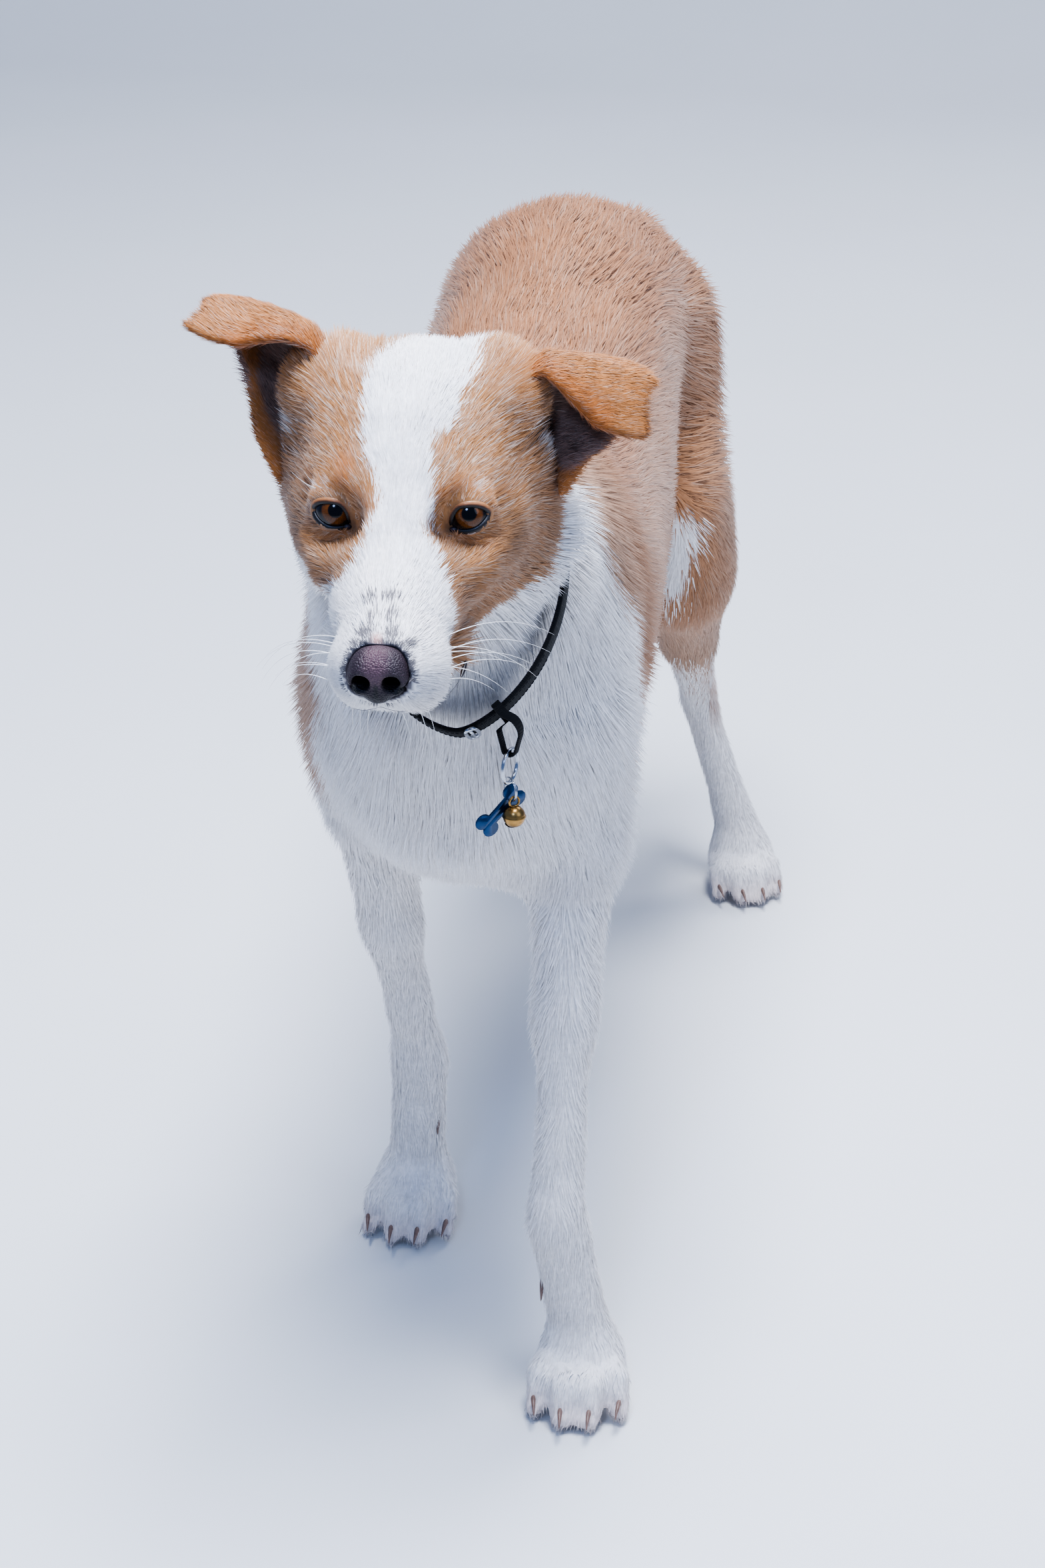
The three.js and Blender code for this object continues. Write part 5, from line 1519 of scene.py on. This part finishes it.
def make_whiskers():
    """Whiskers in rows on both sides of the muzzle, on the chin and over the eyes."""
    rng = np.random.default_rng(SEED + 3)
    lines = []

    def whisker(root, way, drop, radius, steps):
        t = np.linspace(0, 1, steps)[:, None]
        line = (root + way * t + drop * t ** 2) * (sign, 1, 1)
        lines.append(tube(line, radius * (1 - 0.85 * t[:, 0]), 5))

    for sign in SIDES.values():
        roots = [((24 + 2.4 * row, -86 + 8 * column, -34 - 7 * row), 34 + 9 * column - 3 * row)
                 for row in range(2) for column in range(4)]
        roots += [((9 + 4 * k, -84 + 7 * k, -62), 12 + 2 * k) for k in range(3)]
        for root, length in roots:
            root = np.array(root) + rng.normal(scale=1.0, size=3)
            way = unit(np.array([0.85, 0.20 + 0.25 * rng.random(), 0.30 - 0.45 * rng.random()]))
            if root[2] < -58:
                way = unit(np.array([0.35, 0.1, -1.0]))
            length = length * rng.uniform(0.85, 1.15)
            drop = np.array([-0.12, 0.20, -0.75 + 0.3 * rng.random()])
            whisker(root, way * length, drop * length, 0.24, 12)
        for k in range(3):
            root = np.array([33 + 3.5 * k, -13 + 1.5 * k, 17 - k])
            way = unit(np.array([0.2 + 0.25 * k, -0.7, 0.75]))
            whisker(root, way * 17, np.array([0.0, 4.0, 2.0]), 0.20, 9)
    points, faces = merged(lines)
    piece = new_piece("whiskers", from_head(points), faces)
    outward(piece)
    paint(piece.data, linear("#f1ece6"))
    piece.data.materials.append(painted_look("whisker", 0.4))


DEWCLAW_IN = 6.0  # as far as the skin of the pastern lies inside its coat


def make_claws():
    """Rounded claws from the frame's faceted ones, one piece to a foot."""
    # Claw horn: brown, with fine streaks.
    horn = blotchy_look("claw horn", "#8a6d60", "#4b382f", 380.0, 0.38)
    for foot in ("forefoot", "hindfoot"):
        for side in SIDES:
            names = sorted(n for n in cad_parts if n.startswith(f"claw_{foot}_{side}"))
            body = bmesh.new()
            for name in names:
                first = len(body.verts)
                body.from_mesh(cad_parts[name].data)
                inward = DEWCLAW_IN if name.endswith("_5") else 0.0
                for vert in list(body.verts)[first:]:
                    vert.co.x += inward * SIDES[side] * MM
            bmesh.ops.remove_doubles(body, verts=body.verts, dist=1e-5)
            mesh = bpy.data.meshes.new(f"claws_{foot}_{side}")
            body.to_mesh(mesh)
            body.free()
            mesh.shade_smooth()
            mesh.materials.append(horn)
            piece = placed(mesh.name, mesh)
            rounding = piece.modifiers.new("rounding", "SUBSURF")
            rounding.levels = rounding.render_levels = 2
            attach(piece, "root")
            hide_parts(*names)


# The collar and what hangs from it.

LOOP_STEP = 2 * math.pi / 32
HANG_ANGLE = math.pi + 2.5 * LOOP_STEP
LOOP = {"width": 5.0, "thick": 1.3, "drop": 24.0, "bight": 3.0, "bend": 6.0, "slack": 1.2}
RING = {"radius": 8.8, "wire": 1.1, "turn": 75.0}
SPLIT = {"radius": 6.2, "wire": 0.36, "turn": 130.0}
TAG = {"length": 30.0, "lobe": 4.3, "apart": 3.7, "thick": 1.5}
BELL = {"radius": 5.8, "eye": 2.8, "wire": 0.6}
METAL_BLOTCH = 260.0  # scale of the noise that dulls the metals


def on_collar(angles, offset, along):
    """Points of the dog at angles round the collar, offset outward from its loop and along the neck."""
    middle, long, across, way, _ = collar_frame()
    flat = collar_loop(np.asarray(angles, float), offset)
    return middle + flat[..., :1] * long + flat[..., 1:] * across + np.asarray(along)[..., None] * way


def strap_section(width, thick, rounding=0.9, steps=3):
    """The section of a strap as (outward, along) pairs, with rounded edges."""
    corners = []
    for cx, cy, start in ((1, 1, 0), (-1, 1, 90), (-1, -1, 180), (1, -1, 270)):
        for k in range(steps + 1):
            a = math.radians(start + 90 * k / steps)
            corners.append((cx * (thick / 2 - rounding) + rounding * math.cos(a),
                            cy * (width / 2 - rounding) + rounding * math.sin(a)))
    return corners


def make_collar(settings):
    """The webbing band: black outside, plum-grey inside, with rounded woven edges."""
    steps = 200
    angles = np.arange(steps) / steps * 2 * np.pi
    section = strap_section(COLLAR_WIDTH, COLLAR_THICK)
    rings = [on_collar(angles, out, np.full(steps, along)) for out, along in section]
    points = np.stack(rings, 1)
    m = len(section)
    inner = [section[k][0] < -0.5 and section[(k + 1) % m][0] < -0.5 for k in range(m)] * steps
    piece = new_piece("collar_webbing", points.reshape(-1, 3), ring_faces(steps, m, True))
    outward(piece)
    mesh = piece.data
    layer = mesh.uv_layers.new(name="OFBake")
    for polygon, is_inner in zip(mesh.polygons, inner):
        polygon.material_index = int(is_inner)
        ring = [mesh.loops[l].vertex_index // m for l in polygon.loop_indices]
        wraps = max(ring) - min(ring) > steps / 2
        for l, r in zip(polygon.loop_indices, ring):
            k = mesh.loops[l].vertex_index % m
            u = (r + (steps if wraps and r < steps / 2 else 0)) / steps
            v = (section[k][1] / COLLAR_WIDTH + 0.5) * 0.04 + 0.05 * is_inner
            layer.data[l].uv = (u * 0.98, v)
    mesh.materials.append(webbing_look("black webbing", settings.webbing, "#08080a"))
    mesh.materials.append(webbing_look("webbing's inner face", "#4f464d", "#3a333a"))
    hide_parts("collar")


def make_stitching():
    """Two rows of stitches where the strap is doubled in front, laid out by a node group."""
    steps = 40
    angles = np.linspace(math.pi - 0.55, math.pi + 0.95, steps)
    lines = [on_collar(angles, COLLAR_THICK / 2 + 0.12, np.full(steps, along)) for along in (-5.6, 5.6)]
    mesh = bpy.data.meshes.new("collar_stitching")
    edges = [(r * steps + i, r * steps + i + 1) for r in range(2) for i in range(steps - 1)]
    mesh.from_pydata([tuple(v) for v in (np.concatenate(lines) + SHIFT) * MM], edges, [])
    guide = placed("stitch_rows", mesh)

    group = bpy.data.node_groups.new("stitches along a line", "GeometryNodeTree")
    group.interface.new_socket("Geometry", in_out="INPUT", socket_type="NodeSocketGeometry")
    pitch = group.interface.new_socket("Pitch", in_out="INPUT", socket_type="NodeSocketFloat")
    thread = group.interface.new_socket("Thread radius", in_out="INPUT", socket_type="NodeSocketFloat")
    group.interface.new_socket("Geometry", in_out="OUTPUT", socket_type="NodeSocketGeometry")
    source = add(group, "NodeGroupInput")
    curve = add(group, "GeometryNodeMeshToCurve", {"Mesh": source.outputs["Geometry"]})
    spaced = add(group, "GeometryNodeResampleCurve", {
        "Curve": curve.outputs["Curve"], "Length": source.outputs["Pitch"]}, mode="LENGTH")
    tangent = add(group, "GeometryNodeInputTangent")
    align = add(group, "FunctionNodeAlignRotationToVector", {
        "Vector": tangent.outputs["Tangent"]}, axis="Z")
    stitch = add(group, "GeometryNodeMeshUVSphere", {
        "Segments": 8, "Rings": 6, "Radius": source.outputs["Thread radius"]})
    drawn = add(group, "GeometryNodeTransform", {
        "Geometry": stitch.outputs["Mesh"], "Scale": (1, 1, 3.4)})
    laid = add(group, "GeometryNodeInstanceOnPoints", {
        "Points": spaced.outputs["Curve"], "Instance": drawn.outputs["Geometry"],
        "Rotation": align.outputs["Rotation"]})
    real = add(group, "GeometryNodeRealizeInstances", {"Geometry": laid.outputs["Instances"]})
    look = webbing_look("bonded thread", "#1d1c20", "#0c0c0e")
    dressed = add(group, "GeometryNodeSetMaterial", {
        "Geometry": real.outputs["Geometry"], "Material": look})
    add(group, "NodeGroupOutput", {"Geometry": dressed.outputs["Geometry"]})

    rows = guide.modifiers.new("stitches", "NODES")
    rows.node_group = group
    rows[pitch.identifier] = 2.6 * MM
    rows[thread.identifier] = 0.3 * MM
    bpy.context.view_layer.update()
    graph = bpy.context.evaluated_depsgraph_get()
    plain = bpy.data.meshes.new_from_object(guide.evaluated_get(graph), preserve_all_data_layers=True,
                                            depsgraph=graph)
    if not plain.polygons:
        raise RuntimeError("the stitches came out empty")
    bpy.data.objects.remove(guide)
    plain.shade_smooth()
    piece = placed("collar_stitching", plain)
    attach(piece, "root")


def hang_frame():
    """Where the loop wraps the band, and the directions outward from the band there and along it."""
    at, out = (on_collar(np.array([HANG_ANGLE]), COLLAR_THICK / 2 + o, np.zeros(1))[0] for o in (0, 1))
    out = unit(out - at)
    return at, out, np.cross(collar_frame()[3], out)


def on_loop(low):
    """A point of the webbing loop so far below the band, and the directions across and along its strap."""
    at, out, run = hang_frame()
    down = np.array([0, 0, -1.0])
    bend = LOOP["bend"]
    point = at + out * min(low, bend) + down * max(0.0, low - bend)
    t = min(1.0, max(0.0, (low - bend / 2) / (1.6 * bend)))
    wire = heading(RING["turn"])
    width = unit(mix(run, wire * np.sign(wire @ run), t))
    return point, unit(np.cross(mix(out, down, t), width)), width


def make_loop(settings):
    """The twisted loop of webbing that carries the ring, drawn in to its bight."""
    half, drop, bight = COLLAR_WIDTH / 2 + LOOP["slack"], LOOP["drop"], LOOP["bight"]
    high = COLLAR_THICK / 2 + LOOP["slack"]
    line = [(half, -high - 0.6), (half, 0)]
    line += [(mix(half, bight, t), mix(0, drop - bight, t)) for t in (0.3, 0.6, 0.9)]
    line += [(bight * math.cos(a), drop - bight + bight * math.sin(a)) for a in (0.5, 1.0, math.pi / 2)]
    line += [(-x, y) for x, y in reversed(line[:-1])]
    line = catmull(np.array([(x, y, 0) for x, y in line]), 6, closed=True)[:, :2]
    n = len(line)
    normal = unit(np.stack([np.roll(line, -1, 0)[:, 1] - np.roll(line, 1, 0)[:, 1],
                            -(np.roll(line, -1, 0)[:, 0] - np.roll(line, 1, 0)[:, 0])], -1))
    section = strap_section(LOOP["width"], LOOP["thick"], 0.55, 2)
    points = []
    for i in range(n):
        for out, wide in section:
            x, y = line[i] + normal[i] * (out + LOOP["thick"] / 2)
            point, across, along = on_loop(y)
            points.append(point + across * x + along * wide)
    m = len(section)
    piece = new_piece("webbing_loop", points, ring_faces(n, m, True))
    outward(piece)
    mesh = piece.data
    layer = mesh.uv_layers.new(name="OFBake")
    for loop in mesh.loops:
        i, k = divmod(loop.vertex_index, m)
        layer.data[loop.index].uv = (i / n * 0.2, section[k][1] / 100 + 0.1)
    mesh.materials.append(webbing_look("loop webbing", settings.webbing, "#08080a"))
    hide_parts("collar_loop")


def make_hardware():
    """The slider, the rings, the bone tag and the bell."""
    # Handled steel, a little duller in blotches a few millimetres across, as on the tag and the bell.
    steel = blotchy_look("polished steel", "#c4c7cd", "#8e9299", METAL_BLOTCH, 0.22, 1.0)
    ring_at, split_at = node_middle("tag_ring") - SHIFT, node_middle("split_ring") - SHIFT

    line = ring_line(ring_at, RING["radius"], RING["turn"], 56)
    piece = new_piece("welded_ring", *tube(line, RING["wire"], 12, True))
    dress(piece, steel, "steel", "tag_ring")

    turns = []
    a = np.linspace(0, 4 * np.pi - 0.5, 110)
    way = heading(SPLIT["turn"])
    side = np.array([-way[1], way[0], 0])
    for k in a:
        lift = 0.62 * ramp(5.6, 6.9, k) - 0.31
        spoke = math.cos(k) * way + math.sin(k) * np.array([0, 0, 1])
        turns.append(split_at + SPLIT["radius"] * spoke + side * lift)
    piece = new_piece("split_ring_wire", *tube(turns, SPLIT["wire"], 8))
    dress(piece, steel, "steel", "split_ring")

    angle = math.pi + 0.9 * LOOP_STEP
    turns, edge = np.array([-0.05, 0.05, 0.05, -0.05]), COLLAR_WIDTH / 2 + 0.6
    corners = on_collar(angle + turns, COLLAR_THICK / 2 + 0.9, np.array([edge, edge, -edge, -edge]))
    line = catmull(corners, 6, closed=True)
    bar = on_collar(np.array([angle, angle]), COLLAR_THICK / 2 + 1.1, np.array([-8.0, 8.0]))
    piece = new_piece("slider", *merged([tube(line, 1.05, 8, True), tube(bar, 0.9, 8)]))
    dress(piece, steel, "steel")

    make_tag()
    make_bell()


def dress(piece, look, slot, *nodes):
    outward(piece)
    piece.data.materials.append(look)
    if nodes:
        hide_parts(*nodes)


def make_tag():
    """The bone-shaped tag: its outline with a rounded edge, bare of words."""
    lobe, apart, thick = TAG["lobe"], TAG["apart"], TAG["thick"]
    reach = TAG["length"] / 2 - lobe
    end = math.asin(apart / lobe)
    neck = math.radians(184)
    middle, sweep = (neck - end) / 2, (neck + end) / 2
    outline = []
    for sx, sy in ((1, 1), (-1, 1), (-1, -1), (1, -1)):
        facing = math.atan2(sy * math.sin(middle), sx * math.cos(middle))
        for k in range(15):
            a = facing - sweep + 2 * sweep * k / 14
            outline.append((reach * sx + lobe * math.cos(a), apart * sy + lobe * math.sin(a)))
    outline = np.array(outline)
    long = unit(np.array([-0.6, -0.42, -0.68]))
    up = unit(np.cross(unit(np.array([0.85, -0.7, 0])), long))
    up = up if up[2] > 0 else -up
    face = np.cross(long, up)
    centre = tag_middle(long, up, face)
    inset = outline * (1 - 0.5 / np.maximum(np.linalg.norm(outline, axis=1, keepdims=True), 1))
    edge = thick / 2 - 0.45
    rows = [(inset, -thick / 2), (outline, -edge), (outline, edge), (inset, thick / 2)]
    points = np.concatenate([centre + r[:, :1] * long + r[:, 1:] * up + h * face for r, h in rows])
    piece = new_piece("bone_tag", points, capped_faces(len(rows), len(outline)))
    look = blotchy_look("blue anodised aluminium", "#163f66", "#0f2d4d", METAL_BLOTCH, 0.32, 0.75)
    dress(piece, look, "tag", "tag")


def tag_middle(long, up, face):
    """The middle of the frame's tag along its own directions."""
    p = dog_points(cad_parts["tag"].data)
    axes = np.stack([long, up, face])
    local = p @ axes.T
    return ((local.min(0) + local.max(0)) / 2) @ axes


def make_bell():
    """The round brass bell, with a raised band, a slot below drawn as a dark strip of painted shade, and an
    eye above.
    """
    radius, turn, facets = BELL["radius"], 40, 40
    centre = node_middle("bell") - SHIFT
    centre[2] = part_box("bell")[0][2] / MM + radius
    profile = [(0, -radius)]
    for a in range(-78, 79, 6):
        bulge = 1.07 if abs(a) < 5 else 1.0
        profile.append((radius * bulge * math.cos(math.radians(a)), radius * math.sin(math.radians(a))))
    profile.append((0, radius))
    eye_at = np.array([0, 0, radius + BELL["eye"] * 0.8])
    eye = tube(ring_line(eye_at, BELL["eye"], turn, 28), BELL["wire"], 8, True)
    points, faces = merged([lathe(profile, facets), eye])
    piece = new_piece("brass_bell", centre + points, faces)
    dress(piece, blotchy_look("worn brass", "#b08a52", "#7c5d35", METAL_BLOTCH, 0.3, 1.0), "bell", "bell")
    # Painted shade: the slot is a dark strip on the surface that stands for the shadowed opening.
    a = np.radians(np.linspace(-150, -30, 24))
    points, faces = tube(np.stack([np.cos(a), 0 * a, np.sin(a)], 1) * (radius + 0.05), 0.55, 8)
    spin = np.stack([heading(turn), heading(turn + 90), (0, 0, 1)])
    cut = new_piece("bell_slot", centre + points @ spin, faces)
    dress(cut, blotchy_look("bell slot in painted shade", "#231a12", "#120d09", METAL_BLOTCH, 0.7, 1.0), "bell")


# Settings, operators and the panel.


def colour_setting(name, description, value):
    return bpy.props.FloatVectorProperty(name=name, description=description, subtype="COLOR", size=3,
                                         min=0, max=1, default=tuple(float(v) for v in linear(value)))


def length_setting(name, description, millimetres):
    return bpy.props.FloatProperty(name=name, description=description, unit="LENGTH",
                                   default=millimetres * MM, precision=5)


class DogSettings(bpy.types.PropertyGroup):
    """Sizes and colours of the dog."""

    skin_cell: length_setting("Skin cell", "Spacing of the skin's points on the head", 1.9)
    iris_radius: length_setting("Iris radius", "Radius of the coloured ring of the eye", 7.2)
    coat_share: bpy.props.FloatProperty(name="Coat share", description="Share of the tufts that are built",
                                        default=1.0, min=0.01, max=1.0, subtype="FACTOR")
    white: colour_setting("White", "The coat's white", "#eae6e3")
    tan: colour_setting("Tan", "The body's tan", "#a06b41")
    face_tan: colour_setting("Face tan", "The tan of the face", "#ab7545")
    rust: colour_setting("Rust", "Deep tan of the brow and the ears' edges", "#a8632c")
    cream: colour_setting("Cream", "Pale hairs among the tan", "#e6d4c2")
    umber: colour_setting("Umber", "Dark hairs of the cheeks and round the eyes", "#86603f")
    soot: colour_setting("Soot", "Freckles and bare skin round the nose", "#4c444a")
    pink: colour_setting("Pink", "Bare skin between the freckles and the toes", "#d7a093")
    ear_tan: colour_setting("Ear tan", "Outside of the ears", "#b0713b")
    ear_inside: colour_setting("Ear inside", "Inside of the ears", "#ac8674")
    iris: colour_setting("Iris", "Light part of the iris", "#6b3c14")
    webbing: colour_setting("Webbing", "The collar's outer face", "#0b0a0c")


class StageSettings(bpy.types.PropertyGroup):
    """Camera, floor and lights."""

    azimuth: bpy.props.FloatProperty(name="Azimuth", description="Turn of the camera from straight ahead",
                                     subtype="ANGLE", default=math.radians(9.726))
    elevation: bpy.props.FloatProperty(name="Elevation", description="How far the camera looks down",
                                       subtype="ANGLE", default=math.radians(24.524))
    distance: bpy.props.FloatProperty(name="Distance", description="From the camera to what it looks at",
                                      unit="LENGTH", default=1.9)
    target: bpy.props.FloatVectorProperty(name="Target", description="What the camera looks at",
                                          subtype="TRANSLATION", size=3, default=(0.0291, -0.2493, 0.3420))
    lens: bpy.props.FloatProperty(name="Lens", description="Focal length for a 36 mm long side",
                                  unit="CAMERA", default=82.24)
    floor: colour_setting("Floor", "The studio floor", "#d9d8d6")


class DOG_OT_skin(bpy.types.Operator):
    """Build the one skin that replaces the nodes of flesh"""

    bl_idname = "dog.skin"
    bl_label = "Skin"

    def execute(self, context):
        make_skin(context.scene.dog_settings)
        return {"FINISHED"}


class DOG_OT_head_coat(bpy.types.Operator):
    """Grow the short coat of the face and the crown"""

    bl_idname = "dog.head_coat"
    bl_label = "Coat of the head"

    def execute(self, context):
        make_coat(context.scene.dog_settings, "face", "crown")
        return {"FINISHED"}


class DOG_OT_ear_coat(bpy.types.Operator):
    """Grow the coat of the ears"""

    bl_idname = "dog.ear_coat"
    bl_label = "Coat of the ears"

    def execute(self, context):
        make_coat(context.scene.dog_settings, "ear")
        return {"FINISHED"}


class DOG_OT_neck_coat(bpy.types.Operator):
    """Grow the ruff of the neck and the breast"""

    bl_idname = "dog.neck_coat"
    bl_label = "Coat of the neck"

    def execute(self, context):
        make_coat(context.scene.dog_settings, "neck", "breast")
        return {"FINISHED"}


class DOG_OT_body_coat(bpy.types.Operator):
    """Grow the coat of the trunk, the legs and the tail"""

    bl_idname = "dog.body_coat"
    bl_label = "Coat of the body"

    def execute(self, context):
        make_coat(context.scene.dog_settings, "trunk", "forelegs", "hindlegs", "feet", "tail")
        return {"FINISHED"}


class DOG_OT_eyes(bpy.types.Operator):
    """Build the eyes and the margins of their lids"""

    bl_idname = "dog.eyes"
    bl_label = "Eyes"

    def execute(self, context):
        for side in SIDES:
            make_eye(context.scene.dog_settings, side)
            make_lids(side)
        return {"FINISHED"}


class DOG_OT_muzzle(bpy.types.Operator):
    """Build the nose leather, the lips and the whiskers"""

    bl_idname = "dog.muzzle"
    bl_label = "Nose, lips and whiskers"

    def execute(self, context):
        make_nose()
        make_lips()
        make_whiskers()
        return {"FINISHED"}


class DOG_OT_claws(bpy.types.Operator):
    """Build the claws of the four feet"""

    bl_idname = "dog.claws"
    bl_label = "Claws"

    def execute(self, context):
        make_claws()
        return {"FINISHED"}


class DOG_OT_collar(bpy.types.Operator):
    """Build the collar, its stitching and its loop"""

    bl_idname = "dog.collar"
    bl_label = "Collar"

    def execute(self, context):
        make_collar(context.scene.dog_settings)
        make_stitching()
        make_loop(context.scene.dog_settings)
        return {"FINISHED"}


class DOG_OT_hardware(bpy.types.Operator):
    """Build the slider, the rings, the tag and the bell"""

    bl_idname = "dog.hardware"
    bl_label = "Collar hardware"

    def execute(self, context):
        make_hardware()
        return {"FINISHED"}


class DOG_OT_stage(bpy.types.Operator):
    """Set up the floor, the lights and the camera"""

    bl_idname = "dog.stage"
    bl_label = "Stage"

    def execute(self, context):
        make_stage(context.scene.dog_stage)
        return {"FINISHED"}


def area_light(name, place, target, size, watts, colour):
    lamp = bpy.data.lights.new(name, "AREA")
    lamp.shape = "DISK"
    lamp.size, lamp.energy = size, watts
    lamp.color = linear(colour)
    way = unit(np.array(target) - np.array(place))
    placed(name, lamp).matrix_world = looking(place, way)


def looking(place, way):
    """The matrix of something at a place that looks along its own -Z the given way, with Z up."""
    back = -np.array(way)
    right = unit(np.cross((0, 0, 1), back))
    up = np.cross(back, right)
    rows = [(*[float(v[i]) for v in (right, up, back)], float(place[i])) for i in range(3)]
    return Matrix([*rows, (0, 0, 0, 1)])


def make_stage(stage):
    """The floor with its back swept up, the sky, the lights and the camera."""
    size, lift, bend = 6.0, 2.6, 0.9
    back = size * 0.45
    rows = [(-size, 0.0), (back, 0.0)]
    rows += [(back + bend * math.sin(a), bend - bend * math.cos(a))
             for a in np.linspace(0.1, math.pi / 2, 10)]
    rows.append((back + bend, lift + bend))
    points = [(x, y, z) for y, z in rows for x in (-size, size)]
    faces = [(2 * i, 2 * i + 1, 2 * i + 3, 2 * i + 2) for i in range(len(rows) - 1)]
    mesh = bpy.data.meshes.new("floor")
    mesh.from_pydata(points, [], faces)
    mesh.shade_smooth()
    # The studio's painted floor, with a faint unevenness.
    speck = np.array(stage.floor) * 0.93
    mesh.materials.append(blotchy_look("studio floor", stage.floor, speck, 3.0, 0.85))
    sweep = placed("floor", mesh)

    world = bpy.data.worlds.new("studio")
    bpy.context.scene.world = world
    world.use_nodes = True
    sky = world.node_tree.nodes["Background"]
    sky.inputs["Color"].default_value = rgba("#94b4ee")
    sky.inputs["Strength"].default_value = 0.62
    head = (0.0, -0.35, 0.55)
    area_light("key", (0.10, -0.35, 2.8), head, 1.3, 185.0, "#e9f0ff")
    area_light("catch", (-0.05, -1.75, 1.75), head, 0.32, 12.0, "#a8c6ff")
    area_light("fill", (2.0, -1.2, 1.7), head, 1.6, 14.0, "#d5e3ff")
    area_light("rim", (0.7, 2.0, 2.3), (0, 0, 0.4), 1.5, 50.0, "#eef3ff")
    bpy.context.scene.view_settings.look = "AgX - Medium High Contrast"

    azimuth, elevation = stage.azimuth, stage.elevation
    way = np.array([-math.sin(azimuth) * math.cos(elevation), math.cos(azimuth) * math.cos(elevation),
                    -math.sin(elevation)])
    lens = bpy.data.cameras.new("camera")
    lens.lens = stage.lens
    camera = placed("camera", lens)
    camera.matrix_world = looking(np.array(stage.target) - way * stage.distance, way)
    bpy.context.scene.camera = camera


OPERATORS = (DOG_OT_skin, DOG_OT_head_coat, DOG_OT_ear_coat, DOG_OT_neck_coat, DOG_OT_body_coat,
             DOG_OT_eyes, DOG_OT_muzzle, DOG_OT_claws, DOG_OT_collar, DOG_OT_hardware, DOG_OT_stage)


class DOG_PT_panel(bpy.types.Panel):
    """Lists the dog's settings and the operators that build it"""

    bl_idname = "DOG_PT_panel"
    bl_label = "Dog"
    bl_space_type = "VIEW_3D"
    bl_region_type = "UI"
    bl_category = "Dog"

    def draw(self, context):
        for settings in (context.scene.dog_settings, context.scene.dog_stage):
            for name in settings.__annotations__:
                self.layout.prop(settings, name)
        for operator in OPERATORS:
            self.layout.operator(operator.bl_idname)


CLASSES = (DogSettings, StageSettings, *OPERATORS, DOG_PT_panel)


def register():
    for cls in CLASSES:
        bpy.utils.register_class(cls)
    bpy.types.Scene.dog_settings = bpy.props.PointerProperty(type=DogSettings)
    bpy.types.Scene.dog_stage = bpy.props.PointerProperty(type=StageSettings)


def unregister():
    del bpy.types.Scene.dog_stage
    del bpy.types.Scene.dog_settings
    for cls in reversed(CLASSES):
        bpy.utils.unregister_class(cls)


def main():
    register()
    for operator in OPERATORS:
        group, name = operator.bl_idname.split(".")
        getattr(getattr(bpy.ops, group), name)()


if __name__ == "__main__":
    main()
